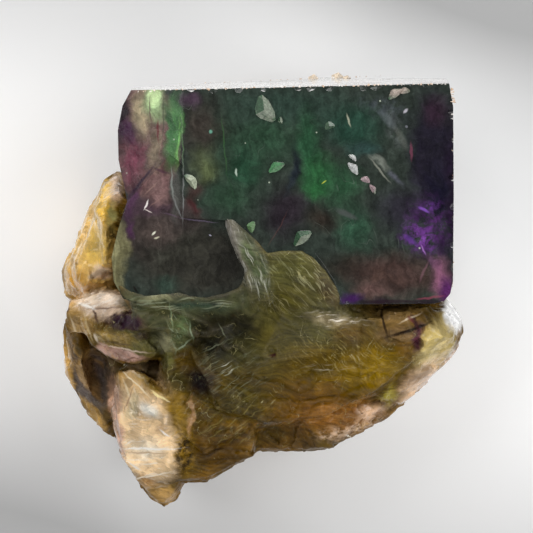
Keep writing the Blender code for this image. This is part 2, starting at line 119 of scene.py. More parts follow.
def object_from(name, bm):
    mesh = bpy.data.meshes.new(name)
    bm.to_mesh(mesh)
    bm.free()
    return placed(name, mesh)


def baked(source, name):
    """A new object with the evaluated mesh of source, which is removed."""
    graph = bpy.context.evaluated_depsgraph_get()
    mesh = bpy.data.meshes.new_from_object(source.evaluated_get(graph))
    mesh.name = name
    made = placed(name, mesh)
    bpy.data.objects.remove(source)
    return made


def welded_solid():
    """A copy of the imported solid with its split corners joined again."""
    bm = bmesh.new()
    bm.from_mesh(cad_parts[NODE].data)
    bmesh.ops.remove_doubles(bm, verts=bm.verts, dist=WELD)
    bmesh.ops.recalc_face_normals(bm, faces=bm.faces)
    return object_from("solid", bm)


def crystal_prism(name, low, high):
    """A prism over the crystal's outline, a hair larger than the crystal."""
    bm = bmesh.new()
    ring = []
    for x, y in CRYSTAL_OUTLINE:
        away = (Vector((x, y)) - CRYSTAL_MIDDLE).normalized() * OUTLINE_CLEARANCE
        ring.append(bm.verts.new(((x + away.x) * MM, (y + away.y) * MM, low * MM)))
    bottom = bm.faces.new(ring)
    grown = bmesh.ops.extrude_face_region(bm, geom=[bottom])
    top = [item for item in grown["geom"] if isinstance(item, bmesh.types.BMVert)]
    bmesh.ops.translate(bm, vec=(0.0, 0.0, (high - low) * MM), verts=top)
    bmesh.ops.recalc_face_normals(bm, faces=bm.faces)
    return object_from(name, bm)


def boolean(target_mesh, other, operation, name):
    target = placed(name, target_mesh.copy())
    modifier = target.modifiers.new("cut", "BOOLEAN")
    modifier.operation = operation
    modifier.solver = "EXACT"
    modifier.object = other
    return baked(target, name)


def islands_of(bm):
    """The vertex sets of the separate bodies in bm."""
    unseen = set(bm.verts)
    islands = []
    while unseen:
        island = {unseen.pop()}
        edge = list(island)
        while edge:
            vertex = edge.pop()
            for link in vertex.link_edges:
                other = link.other_vert(vertex)
                if other not in island:
                    island.add(other)
                    edge.append(other)
        unseen -= island
        islands.append(island)
    return islands


def span_of(island):
    corners = [vertex.co for vertex in island]
    return max(max(c[axis] for c in corners) - min(c[axis] for c in corners) for axis in range(3)) / MM


def keep_islands(source, name, span):
    """Replaces source by an object with only its bodies of a span, least and most, in mm."""
    low, high = span
    bm = bmesh.new()
    bm.from_mesh(source.data)
    bpy.data.objects.remove(source)
    for island in islands_of(bm):
        if not low < span_of(island) < high:
            bmesh.ops.delete(bm, geom=list(island), context="VERTS")
    return object_from(name, bm)


def join(target, other):
    """Adds other's bodies to target's mesh, and removes other."""
    bm = bmesh.new()
    bm.from_mesh(target.data)
    bm.from_mesh(other.data)
    bm.to_mesh(target.data)
    bm.free()
    bpy.data.objects.remove(other)


def tree_of(piece):
    return BVHTree.FromPolygons(
        [vertex.co for vertex in piece.data.vertices],
        [tuple(face.vertices) for face in piece.data.polygons],
    )


def rows_from(items, key, width, kind=float):
    """An array with one row of values for each item of a mesh."""
    flat = np.empty(len(items) * width, kind)
    items.foreach_get(key, flat)
    return flat.reshape(-1, width)


def set_coordinates(mesh, points):
    mesh.vertices.foreach_set("co", np.asarray(points, np.float32).ravel())
    mesh.update()


def smoothed(values, pairs, rounds):
    """Each vertex's value, averaged with its neighbours' a number of times."""
    count = np.zeros(len(values))
    np.add.at(count, pairs[:, 0], 1)
    np.add.at(count, pairs[:, 1], 1)
    for _ in range(rounds):
        total = np.zeros_like(values)
        np.add.at(total, pairs[:, 0], values[pairs[:, 1]])
        np.add.at(total, pairs[:, 1], values[pairs[:, 0]])
        shared = count.reshape((-1,) + (1,) * (values.ndim - 1))
        values = 0.5 * values + 0.5 * total / shared
    return values


def store(mesh, name, values):
    layer = mesh.attributes.new(name, "FLOAT", "POINT")
    layer.data.foreach_set("value", np.asarray(values, np.float32))


# Relief of the broken base, in mm: flat facets, cleavage steps, folds of the frosted growth
FACET_SIZE = 3.8
FACET_DEPTH = 0.3
STEP_PERIOD = 1.9
STEP_HEIGHT = 0.2
WAVE_SIZE = 5.5
WAVE_DEPTH = 0.2
GRAIN_SIZE = 0.8
GRAIN_DEPTH = 0.03
# How high the smooth rest face reaches, and over what height the relief grows above it
SMOOTH_REST = 0.3
ROUGH_RUN = 1.5
CLEAVAGES = (Vector((0.62, 0.35, -0.7)).normalized(), Vector((-0.5, 0.75, -0.45)).normalized())


def facet_height(point):
    """A flat tilted facet in each cell, with a step where two cells meet."""
    place = point / FACET_SIZE
    _, cells = noise.voronoi(place)
    tilt = noise.cell_vector(cells[0] * 7.31)
    return tilt.dot(place - cells[0]) + 0.35 * tilt.x


def step_height(point, direction):
    """Parallel cleavage steps: a slow rise and a sudden fall."""
    along = point.dot(direction) / STEP_PERIOD + 0.9 * noise.noise(point / 4.0)
    strength = clamped(0.5 + 1.6 * noise.noise(point / 6.0 + direction * 9.0))
    return (along - math.floor(along)) * strength


def fold_height(point):
    """Wavy folds: they run down to the right on the growth, and down to the left beside it."""
    bend = point + noise.noise_vector(point / 4.0) * 1.8
    turn = math.radians(FOLD_TURN if bend.x > FOLD_DIVIDE_X else LEFT_FOLD_TURN)
    across = bend.y * math.cos(turn) - bend.x * math.sin(turn)
    along = bend.x * math.cos(turn) + bend.y * math.sin(turn)
    return 1 - 2.6 * abs(noise.noise(Vector((across, along * 0.28, 0.3 * point.z)) / FOLD_SIZE))


def roughen(mesh):
    """Gives the remeshed base its facets, steps and waves, and lowers it under the growth."""
    points = rows_from(mesh.vertices, "co", 3) / MM
    normals = rows_from(mesh.vertex_normals, "vector", 3)
    moved = np.empty(len(points))
    for index, values in enumerate(points):
        point = Vector(values)
        warp = noise.noise_vector(point / 5.0) * 0.9
        moved[index] = (
            FACET_DEPTH * facet_height(point + warp)
            + STEP_HEIGHT * sum(step_height(point, way) - 0.5 for way in CLEAVAGES)
            + WAVE_DEPTH * noise.noise(point / WAVE_SIZE)
            + GRAIN_DEPTH * noise.noise(point / GRAIN_SIZE)
        )
        if covered_by_growth(point):
            moved[index] = -UNDER_GROWTH
    above_rest = np.clip((points[:, 2] - SMOOTH_REST) / ROUGH_RUN, 0, 1)
    set_coordinates(mesh, (points + normals * (moved * above_rest)[:, None]) * MM)


# Outline of the frosted growth, with its fin and the sill under the panel, in photograph pixels
GROWTH_OUTLINE = [
    (222, 211), (235, 217), (246, 226), (259, 237), (269, 248), (283, 246), (303, 246), (315, 254),
    (328, 267), (340, 284), (347, 302), (366, 308), (378, 324), (384, 345), (386, 372), (372, 392),
    (345, 403), (300, 410), (255, 404), (226, 392), (206, 372), (200, 352), (194, 336), (176, 324),
    (152, 318), (130, 313), (118, 302), (113, 282), (122, 281), (132, 287), (146, 291), (160, 290),
    (170, 289), (180, 288), (191, 291), (206, 292), (224, 289), (236, 284), (241, 277), (242, 269),
    (236, 260), (228, 243), (222, 226),
]
# The growth's height, its mesh, its rim, how far it stands out of the solid, and its folds, in mm
GROWTH_LEVEL = 41.0
GROWTH_GRID = 0.24
GROWTH_BLUR = 0.7
GROWTH_RIM = 0.9
GROWTH_LOW_RIM = 5.0
GROWTH_LOW_START = 1.0
GROWTH_LOW_RUN = 9.0
GROWTH_LIFT = 0.26
GROWTH_SINK = 1.5
GROWTH_THICKNESS = 2.5
GROWTH_LOWEST = 24.0
UNDER_GROWTH = 0.35
UNDER_GROWTH_INSET = 0.7
FOLD_SIZE = 1.5
FOLD_DEPTH = 0.14
FOLD_DIVIDE_X = -4.0
FOLD_TURN = -50
LEFT_FOLD_TURN = 30
LEFT_FOLD_SHARE = 0.4

growth_ring = [at_pixel(px, py, GROWTH_LEVEL).to_2d() for px, py in GROWTH_OUTLINE]


def depth_inside(x, y):
    """How far a place lies inside the growth's outline, in mm; less than 0 outside it."""
    inside = False
    least = 1e9
    for first, second in zip(growth_ring, growth_ring[1:] + growth_ring[:1]):
        if (first.y > y) != (second.y > y):
            if x < first.x + (y - first.y) / (second.y - first.y) * (second.x - first.x):
                inside = not inside
        run = second - first
        share = clamped(((x - first.x) * run.x + (y - first.y) * run.y) / run.length_squared)
        least = min(least, math.hypot(x - first.x - share * run.x, y - first.y - share * run.y))
    return least if inside else -least


def covered_by_growth(point):
    """Whether a point of the base lies under the growth, and looks up."""
    return point.z > GROWTH_LOWEST and depth_inside(point.x, point.y) > UNDER_GROWTH_INSET


def blurred(values, cells):
    """A grid of values, averaged over a distance of some cells along both ways."""
    reach = int(3 * cells)
    weights = np.exp(-0.5 * (np.arange(-reach, reach + 1) / cells) ** 2)
    weights /= weights.sum()
    for axis in (0, 1):
        edges = [(reach, reach) if side == axis else (0, 0) for side in (0, 1)]
        padded = np.pad(values, edges, mode="edge")
        values = np.apply_along_axis(lambda line: np.convolve(line, weights, "valid"), axis, padded)
    return values


def growth_sheet(solid_tree):
    """The frosted growth: a folded skin over the solid's own growth, sunk in it at its rim."""
    corners = np.array(growth_ring)
    xs, ys = (np.arange(line.min() - 1, line.max() + 1, GROWTH_GRID) for line in corners.T)
    ground = np.zeros((len(xs), len(ys)))
    for i, x in enumerate(xs):
        for j, y in enumerate(ys):
            hit = solid_tree.ray_cast(Vector((x, y, ABOVE_ALL)) * MM, Vector((0, 0, -1)))
            ground[i, j] = hit[0].z / MM if hit[0] is not None else 0.0
    ground = np.maximum(ground, blurred(ground, GROWTH_BLUR / GROWTH_GRID))
    bm = bmesh.new()
    grid = {}
    for i, x in enumerate(xs):
        for j, y in enumerate(ys):
            depth = depth_inside(x, y)
            if depth < -0.1:
                continue
            lowness = clamped((GROWTH_LOW_START - y) / GROWTH_LOW_RUN)
            rim = GROWTH_RIM + (GROWTH_LOW_RIM - GROWTH_RIM) * lowness
            wobble = 1 + lowness * noise.noise(Vector((x, y, 0.0)) / 2.4)
            share = clamped(depth * wobble / rim)
            share = share * share * (3 - 2 * share)
            height = ground[i, j] + GROWTH_LIFT * share - GROWTH_SINK * (1 - share)
            fold_share = share * (1 if x > FOLD_DIVIDE_X else LEFT_FOLD_SHARE)
            height += FOLD_DEPTH * fold_share * fold_height(Vector((x, y, height)))
            grid[i, j] = bm.verts.new((x * MM, y * MM, height * MM))
    for i, j in list(grid):
        corners = [grid.get(key) for key in ((i, j), (i + 1, j), (i + 1, j + 1), (i, j + 1))]
        if all(corners):
            bm.faces.new(corners)
    loose = [vertex for vertex in bm.verts if not vertex.link_faces]
    bmesh.ops.delete(bm, geom=loose, context="VERTS")
    top = list(bm.faces)
    grown = bmesh.ops.extrude_face_region(bm, geom=top, use_keep_orig=True)
    lower = [item for item in grown["geom"] if isinstance(item, bmesh.types.BMVert)]
    bmesh.ops.translate(bm, vec=(0.0, 0.0, -GROWTH_THICKNESS * MM), verts=lower)
    bmesh.ops.recalc_face_normals(bm, faces=bm.faces)
    sheet = object_from("frosted_growth", bm)
    sheet.data.shade_smooth()
    return sheet


def sink_into(mesh, crystal):
    """Carries the base's rim a little way into the crystal, so that no gap shows."""
    tree = tree_of(crystal)
    points = rows_from(mesh.vertices, "co", 3)
    reach = SOCKET_REACH * MM
    for index, values in enumerate(points):
        near, normal, _, distance = tree.find_nearest(Vector(values), reach)
        if near is not None:
            points[index] = near - normal * (SOCKET_DEPTH * MM * (1 - distance / reach))
    set_coordinates(mesh, points)


# How thick stone is measured, and the reliefs that count as full, in mm
MEASURE_START = 0.3
MEASURE_REACH = 30.0
THICK_STONE = 16.0
FINE_RELIEF = 0.06
BROAD_RELIEF = 0.22


def add_surface_measures(mesh, solid_tree):
    """Stores how thin the stone is behind each point, and how sharply its surface turns."""
    points = rows_from(mesh.vertices, "co", 3)
    normals = rows_from(mesh.vertex_normals, "vector", 3)
    pairs = rows_from(mesh.edges, "vertices", 2, np.int64)
    thick = np.full(len(points), MEASURE_REACH)
    for index, (point, normal) in enumerate(zip(points, normals)):
        start = Vector(point - normal * MEASURE_START * MM)
        hit = solid_tree.ray_cast(start, Vector(-normal), MEASURE_REACH * MM)
        if hit[0] is not None:
            thick[index] = hit[3] / MM
    thin = smoothed(np.clip(1 - thick / THICK_STONE, 0, 1), pairs, 4)
    near = smoothed(points, pairs, 3)
    far = smoothed(near, pairs, 14)
    fine = ((points - near) * normals).sum(1) / (FINE_RELIEF * MM)
    broad = ((near - far) * normals).sum(1) / (BROAD_RELIEF * MM)
    store(mesh, "thin", thin)
    store(mesh, "ridge", np.clip(0.6 * fine + 0.6 * broad, 0, 1))
    store(mesh, "hollow", np.clip(-0.4 * fine - 0.7 * broad, 0, 1))


def remeshed(source, name):
    modifier = source.modifiers.new("voxels", "REMESH")
    modifier.mode = "VOXEL"
    modifier.voxel_size = VOXEL * MM
    modifier.adaptivity = 0.0
    return baked(source, name)


# Shards and chips that catch the light along the crystal's edges: start, end, count, sizes
CHIP_RUNS = [
    ((-18.6, 31.3, 42.0), (-12.0, 31.6, 42.0), 10, (0.15, 0.45)),
    ((-12.0, 31.6, 42.0), (19.0, 32.3, 42.0), 46, (0.15, 0.55)),
    ((19.0, 32.3, 42.0), (27.8, 32.4, 42.0), 12, (0.2, 0.6)),
    ((28.3, 32.0, 41.9), (28.45, 29.4, 41.8), 7, (0.4, 0.9)),
    ((28.4, 28.8, 41.8), (28.5, 3.2, 41.8), 20, (0.12, 0.4)),
    ((28.4, 25.4, 41.7), (28.5, 24.4, 41.7), 4, (0.3, 0.55)),
    ((28.3, 3.6, 41.7), (28.2, 2.0, 41.7), 5, (0.3, 0.6)),
    ((27.0, 0.0, 41.8), (14.0, -0.3, 41.8), 12, (0.12, 0.35)),
    ((-12.6, 31.9, 28.0), (20.0, 32.6, 10.0), 30, (0.15, 0.4)),
]
CHIP_CORNERS = 7
CHIP_NARROWING = 0.6
CHIP_REACH = (0.35, 0.6)


def edge_shards():
    """Small broken flakes joined into one mesh."""
    rng = random.Random(SEED)
    bm = bmesh.new()
    for start, end, count, sizes in CHIP_RUNS:
        for number in range(count):
            place = Vector(start).lerp(Vector(end), (number + rng.random()) / count)
            size = rng.uniform(*sizes)
            corners = []
            for _ in range(CHIP_CORNERS):
                spread = (1, CHIP_NARROWING, CHIP_NARROWING)
                corner = Vector([rng.gauss(0, share) for share in spread]).normalized()
                corners.append(bm.verts.new((place + corner * size * rng.uniform(*CHIP_REACH)) * MM))
            hull = bmesh.ops.convex_hull(bm, input=corners)
            inside = [item for item in hull["geom_interior"] if isinstance(item, bmesh.types.BMVert)]
            bmesh.ops.delete(bm, geom=inside, context="VERTS")
    bmesh.ops.recalc_face_normals(bm, faces=bm.faces)
    return object_from("edge_shards", bm)


# Materials

def fill(tree, node, values):
    """Sets a node's inputs to values, or links them to sockets."""
    for slot, value in values.items():
        if isinstance(value, bpy.types.NodeSocket):
            tree.links.new(value, node.inputs[slot])
        else:
            node.inputs[slot].default_value = value


def add(tree, kind, values=None, **settings):
    """A node with its settings and inputs."""
    made = tree.nodes.new(kind)
    for key, value in settings.items():
        setattr(made, key, value)
    fill(tree, made, values or {})
    return made


def calc(tree, operation, *operands):
    return add(tree, "ShaderNodeMath", dict(enumerate(operands)), operation=operation).outputs[0]


def vector_calc(tree, operation, *operands):
    return add(tree, "ShaderNodeVectorMath", dict(enumerate(operands)), operation=operation)


def ramp(tree, value, low, high, start=0.0, end=1.0, smooth=True):
    """value carried from low..high to start..end, and held there outside."""
    limits = {"Value": value, "From Min": low, "From Max": high, "To Min": start, "To Max": end}
    kind = "SMOOTHSTEP" if smooth else "LINEAR"
    return add(tree, "ShaderNodeMapRange", limits, interpolation_type=kind).outputs[0]


def mix(tree, factor, first, second, blend="MIX"):
    made = add(tree, "ShaderNodeMix", {0: factor, 6: first, 7: second}, data_type="RGBA", blend_type=blend)
    return made.outputs[2]


def axis_of(tree, place, axis):
    """One coordinate of a place."""
    return add(tree, "ShaderNodeSeparateXYZ", {0: place}).outputs[axis]


def attribute(tree, name):
    return add(tree, "ShaderNodeAttribute", attribute_name=name).outputs["Fac"]


def shaded(tree, colour, value):
    """colour times a grey value."""
    grey = add(tree, "ShaderNodeCombineColor", {0: value, 1: value, 2: value}).outputs[0]
    return mix(tree, 1.0, colour, grey, "MULTIPLY")


def noise_at(tree, place, scale, detail=3.0, rough=0.55, output="Fac"):
    values = {"Vector": place, "Scale": scale, "Detail": detail, "Roughness": rough}
    return add(tree, "ShaderNodeTexNoise", values).outputs[output]


def warped(tree, place, scale, reach, detail=2.0):
    """place, pushed about by noise by up to half of reach each way."""
    parts = add(tree, "ShaderNodeSeparateColor", {0: noise_at(tree, place, scale, detail, output="Color")})
    push = add(tree, "ShaderNodeCombineXYZ", dict(enumerate(parts.outputs[:3]))).outputs[0]
    centred = vector_calc(tree, "SUBTRACT", push, (0.5, 0.5, 0.5)).outputs[0]
    return vector_calc(tree, "MULTIPLY_ADD", centred, (reach, reach, reach), place).outputs[0]


def turned(tree, place, size, turn=0.0, centre=(0.0, 0.0, 0.0)):
    """place in a frame of its own: about centre, turned by degrees about z, in units of size."""
    spin = (0.0, 0.0, math.radians(turn))
    values = {"Vector": place, "Location": centre, "Scale": size, "Rotation": spin}
    return add(tree, "ShaderNodeMapping", values, vector_type="TEXTURE").outputs[0]


def fibres(tree, place, turn, size=(5.0, 0.32, 1.6), low=0.54, high=0.68):
    """Thin wavy streaks along a direction."""
    bent = warped(tree, place, 0.2, 2.6)
    return ramp(tree, noise_at(tree, turned(tree, bent, size, turn), 1.0, 2.0, 0.6), low, high)


def flakes(tree, place, size, turn):
    """A random value for each of many flat flakes, longest along a direction."""
    local = turned(tree, warped(tree, place, 0.4, 1.6, 4.0), size, turn)
    cells = add(tree, "ShaderNodeTexVoronoi", {"Vector": local, "Scale": 1.0})
    return add(tree, "ShaderNodeSeparateColor", {0: cells.outputs["Color"]}).outputs[0]


def wisp_lines(tree, place, scale, width, where, turn=0.0, size=(1.0, 1.0, 1.0)):
    """Thin curved lines: the level lines of a warped noise, kept where another noise is high."""
    bent = warped(tree, turned(tree, place, size, turn), scale * 0.45, 1.6 / scale)
    level = noise_at(tree, bent, scale, 1.0)
    off = calc(tree, "ABSOLUTE", calc(tree, "SUBTRACT", level, 0.5))
    line = ramp(tree, off, width, width * 0.2)
    kept = ramp(tree, noise_at(tree, place, scale * 0.5, 2.0), where, where + 0.14)
    return calc(tree, "MULTIPLY", line, kept)


# A coloured region: its centre and half size in photograph pixels, at a height in mm, its depth
# in mm, the share of it over which it fades, its turn in degrees and the grain that breaks it up
Zone = namedtuple(
    "Zone", "name centre half colour height depth soft turn strength grain", defaults=(0.8, 0, 1, "plain"),
)
FACE_ZONE_DEPTH = 16.0
ZONE_SPREAD = 0.4
STROKE_DEPTH = 6.0
STROKE_SOFT = 0.6
STROKE_LENGTH_SHARE = 0.62
STROKE_WIDTH_SHARE = 0.75


def face_zone(name, centre, half, colour, *rest):
    """A zone at the height of the display face."""
    return Zone(name, centre, half, colour, FACE_Z, FACE_ZONE_DEPTH, *rest)


def stroke(name, start, end, width, colour, strength=0.8, height=FACE_Z):
    """A thin line or narrow streak from one photograph pixel to another."""
    run = Vector(end) - Vector(start)
    centre = (Vector(start) + Vector(end)) / 2
    half = (run.length * STROKE_LENGTH_SHARE, width * STROKE_WIDTH_SHARE)
    turn = math.degrees(math.atan2(-run.y, run.x))
    return Zone(name, centre, half, colour, height, STROKE_DEPTH, STROKE_SOFT, turn, strength)


def paint(tree, colour, place, grains, kind, rows):
    """Lays the colours of a table's zones or strokes over colour, one after another."""
    for row in rows:
        zone = kind(*row)
        middle = at_pixel(*zone.centre, zone.height)
        outer, inner = 1 + ZONE_SPREAD * zone.soft, 1 - zone.soft
        half_width, half_height = zone.half
        size = Vector((half_width * MM_PER_PIXEL, half_height * MM_PER_PIXEL, zone.depth)) * outer
        local = turned(tree, place, size, zone.turn, middle)
        ball = add(tree, "ShaderNodeTexGradient", {"Vector": local}, gradient_type="SPHERICAL")
        mask = ramp(tree, ball.outputs["Fac"], 0.0, 1 - inner / outer, 0.0, zone.strength)
        if zone.grain != "plain":
            mask = calc(tree, "MULTIPLY", mask, grains[zone.grain])
        colour = mix(tree, mask, colour, srgb(*zone.colour))
        colour.node.label = zone.name
    return colour


# On the display face: name, centre, half size, colour, softness, turn, strength, grain
CUBE_ZONES = [
    # the display face, from its upper left corner to the right
    ("brownish left", (204, 128), (26, 30), (56, 51, 46)),
    ("mossy left", (208, 166), (18, 22), (76, 84, 58), 0.9),
    ("mossy patch", (210, 172), (10, 12), (92, 102, 66), 0.9, 0, 0.5),
    ("mid left green", (240, 148), (30, 50), (40, 60, 46), 0.9),
    ("deep green left", (244, 166), (16, 22), (38, 68, 50), 0.9),
    ("lower left green", (228, 198), (24, 20), (46, 68, 52)),
    ("dark red corner", (193, 209), (9, 12), (72, 30, 34), 0.6),
    ("brown behind the corner", (196, 192), (9, 12), (66, 52, 48), 0.9),
    ("upper teal", (290, 106), (70, 22), (44, 60, 52)),
    ("green under the large grown crystal", (272, 140), (28, 26), (46, 72, 54), 0.9),
    ("green column", (308, 150), (14, 44), (42, 78, 54)),
    ("green glow", (318, 178), (24, 24), (40, 84, 50), 0.9),
    ("brightest green", (312, 192), (12, 11), (48, 106, 60), 0.9, 0, 0.8),
    ("teal right of the glow", (352, 128), (34, 24), (38, 66, 54)),
    ("bluish middle", (364, 148), (18, 10), (44, 66, 62), 0.9),
    ("green right of the glow", (344, 184), (20, 24), (46, 80, 56), 0.9),
    ("lower green", (354, 228), (20, 24), (48, 78, 60), 0.9),
    ("central purple shade", (286, 212), (24, 30), (42, 36, 42)),
    ("shade left of the glow", (292, 172), (5, 26), (30, 36, 42), 0.8, -8),
    ("brown under the glow", (322, 218), (20, 14), (48, 42, 36), 0.9),
    ("lower shade", (346, 268), (34, 18), (44, 42, 36)),
    ("grey veil", (384, 110), (30, 11), (70, 76, 82), 0.9, -24, 0.7, "mottle"),
    ("grey veil end", (396, 128), (7, 20), (92, 98, 96), 0.9, 30, 0.7, "mottle"),
    ("dark right", (432, 160), (26, 76), (32, 29, 40), 0.5),
    ("darkest right", (436, 196), (18, 32), (22, 20, 36)),
    ("dark right rim", (452, 190), (9, 96), (30, 22, 38)),
    ("dark foot", (400, 305), (60, 7), (38, 28, 36)),
    ("plum upper right", (436, 110), (16, 18), (48, 34, 46)),
    ("dark mid right", (402, 210), (28, 24), (42, 40, 48), 0.9),
    ("violet haze", (428, 228), (26, 32), (70, 38, 86), 0.8, 0, 1, "mottle"),
    ("violet high", (430, 208), (13, 8), (76, 42, 104), 0.9, 0, 1, "mottle"),
    ("violet heart", (419, 238), (18, 11), (116, 64, 146), 0.8, -40, 1, "mottle"),
    ("violet dark", (441, 244), (8, 15), (44, 22, 56), 0.9, 0, 0.8),
    ("milky", (378, 164), (11, 4.5), (134, 140, 130), 0.9, -42, 0.9),
    ("milky end", (394, 180), (12, 4.4), (88, 90, 100), 0.9, -40, 0.8),
    ("mauve run", (434, 264), (14, 5), (122, 80, 118), 0.9, -48, 0.8),
    ("brown pink", (394, 274), (50, 24), (68, 52, 48), 0.7),
    ("brown pink light", (384, 276), (24, 12), (82, 62, 55), 0.9, 0, 0.7, "mottle"),
    ("brown pink left end", (372, 292), (20, 10), (92, 70, 66)),
    ("purple lower edge", (353, 298), (12, 6), (62, 32, 82)),
    ("mauve lower right", (440, 276), (13, 22), (122, 78, 100), 0.8, 0, 0.9),
    ("purple rim right", (446, 288), (9, 16), (86, 40, 92)),
    # the facet that falls away to the upper left
    ("left facet ground", (148, 144), (34, 62), (98, 72, 72), 0.12),
    ("left facet dark edge", (120, 116), (15, 38), (28, 14, 22), 0.6),
    ("left facet purple", (130, 134), (14, 13), (62, 32, 58)),
    ("left facet magenta", (134, 162), (15, 26), (102, 54, 68), 0.7, -12),
    ("left facet magenta light", (134, 174), (9, 14), (126, 78, 88), 0.9, -24, 1, "up"),
    ("left facet beige", (143, 114), (10, 26), (160, 146, 116)),
    ("left facet pale green", (157, 104), (11, 20), (166, 196, 140), 0.8, 0, 0.9),
    # painted highlight on the pale green top of the facet
    ("left facet brightest", (156, 99), (6, 9), (204, 228, 168), 0.9),
    ("left facet grey brown", (156, 150), (8, 24), (124, 110, 92)),
    ("left facet green", (174, 132), (9, 40), (70, 116, 68), 0.6, -4),
    ("left facet deep green", (168, 128), (4, 26), (56, 98, 58)),
    ("left facet light green", (179, 138), (3.4, 30), (112, 168, 92), 0.9, -3, 1, "upright"),
    ("purple black beside the step", (190, 102), (10, 10), (76, 60, 74)),
    # the lower growth face on the left
    ("lower face ground", (158, 230), (48, 40), (64, 56, 54), 0.3),
    ("lower face mauve", (150, 210), (30, 12), (70, 54, 62), 0.9),
    ("brown dome", (157, 190), (13, 20), (118, 92, 90), 0.6, -8),
    ("dome violet edge", (134, 202), (7, 20), (82, 56, 78), 0.7, -10),
    ("glassy strip", (176, 194), (7, 28), (84, 84, 80), 0.7),
    ("panel", (196, 262), (74, 40), (50, 49, 43), 0.5),
    ("panel brown corner", (156, 234), (24, 14), (74, 64, 60), 0.9),
    ("panel teal foot", (168, 284), (18, 10), (50, 68, 58), 0.9, 0, 0.8),
    ("panel haze", (160, 258), (14, 12), (66, 66, 58), 0.9, 0, 0.6, "mottle"),
    ("panel darkest", (226, 262), (22, 22), (38, 37, 33), 0.9),
    ("panel green left band", (118, 258), (11, 46), (106, 102, 72), 0.6),
    ("left band streaks", (118, 262), (9, 40), (136, 134, 100), 0.7, 0, 0.5, "upright"),
    ("panel violet line", (130, 230), (4, 12), (66, 42, 64)),
]
# Name, start, end, width, colour, strength, height
CUBE_STROKES = [
    ("step edge", (183, 166), (183, 218), 1.3, (156, 158, 156), 0.55),
    ("step corner", (184, 219), (214, 223), 1.3, (118, 106, 128), 0.7),
    ("strip line", (171, 170), (173, 198), 1.5, (150, 156, 150), 0.6),
    ("strip line low", (173, 198), (182, 218), 1.3, (138, 140, 138), 0.6),
    ("strip foot", (164, 214), (178, 217), 1.2, (104, 84, 104), 0.5),
    ("dome edge", (153, 168), (128, 198), 2.4, (46, 26, 50), 0.85),
    ("dome top", (153, 169), (168, 174), 1.8, (74, 46, 60), 0.7),
    ("dome arc high", (145, 194), (158, 182), 1.1, (168, 138, 126), 0.35),
    ("dome arc mid", (148, 199), (162, 188), 1.1, (92, 64, 66), 0.35),
    ("dome arc low", (150, 206), (166, 196), 1.2, (158, 124, 116), 0.35),
    # a painted glint: the white arc on the dome, and its foot
    ("white arc", (144, 209), (148, 201), 1.3, (240, 232, 228), 0.95),
    ("white arc foot", (145, 209), (151, 212), 1, (220, 206, 200)),
    ("dark line in the beige", (150, 98), (151, 126), 1.4, (88, 62, 62), 0.7),
    ("dark line by the green", (164, 96), (163, 140), 1.3, (60, 66, 50), 0.6),
    ("red line", (157, 121), (159, 142), 2, (102, 48, 52), 0.85),
    ("green rim line", (182, 112), (183, 166), 1.2, (120, 160, 108), 0.35),
    ("green streak", (222, 122), (227, 172), 1.1, (62, 100, 58), 0.5),
    ("green streak foot", (227, 172), (235, 200), 1.2, (40, 66, 46), 0.6),
    ("white mark", (236, 170), (237, 176), 1.4, (190, 206, 190)),
    ("teal dot", (210, 133), (212, 131), 2.4, (120, 184, 160), 0.7),
    ("pale mark", (347, 115), (350, 126), 1.5, (170, 172, 150), 0.85),
    ("gold spark", (322, 183), (326, 180), 1.1, (198, 206, 74), 0.7),
    ("red line right", (411, 144), (411, 160), 2, (112, 62, 80)),
    ("milky streak rim", (371, 160), (388, 180), 1.6, (162, 164, 150), 0.5),
    ("veil line", (381, 112), (395, 128), 6, (104, 112, 116), 0.35),
    ("veil line low", (395, 128), (406, 148), 5, (108, 112, 104), 0.35),
    ("triangle mark", (404, 113), (407, 109), 2, (190, 186, 196), 0.85),
    ("faint mark", (405, 126), (407, 128), 1.8, (120, 122, 130)),
    ("grey smear", (338, 210), (356, 218), 4, (86, 88, 88), 0.6),
    ("faint scratch", (270, 244), (286, 214), 1, (120, 78, 70), 0.2),
    ("violet spark", (419, 207), (429, 212), 2.2, (132, 84, 182)),
    ("violet streak high", (404, 236), (416, 244), 4, (96, 56, 140), 0.5),
    ("violet streak bright", (421, 245), (426, 254), 1.3, (176, 124, 200), 0.6),
    ("mauve fold", (428, 262), (420, 280), 2, (116, 84, 92), 0.6),
    ("pink lower rim", (418, 299), (442, 296), 2, (150, 72, 92), 0.5),
    ("dark lower rim", (364, 302), (420, 302), 2.6, (40, 26, 34), 0.7),
    # painted glints on the panel
    ("panel glint", (152, 235), (155, 231), 1.5, (226, 226, 206), 0.9, FACE_Z - 0.9),
    ("panel glint low", (154, 238), (159, 237), 1.3, (200, 196, 170), 0.9, FACE_Z - 0.9),
    ("panel dot", (210, 236), (211, 235), 2, (170, 168, 186), 0.9, FACE_Z - 0.9),
    ("panel crack", (133, 286), (138, 292), 1.6, (24, 20, 16), 0.8, FACE_Z - 0.9),
]

BASE_GROUND = (82, 62, 16)
BASE_GROUND_BROWN = (104, 76, 30)
BASE_SATURATION = 1.05
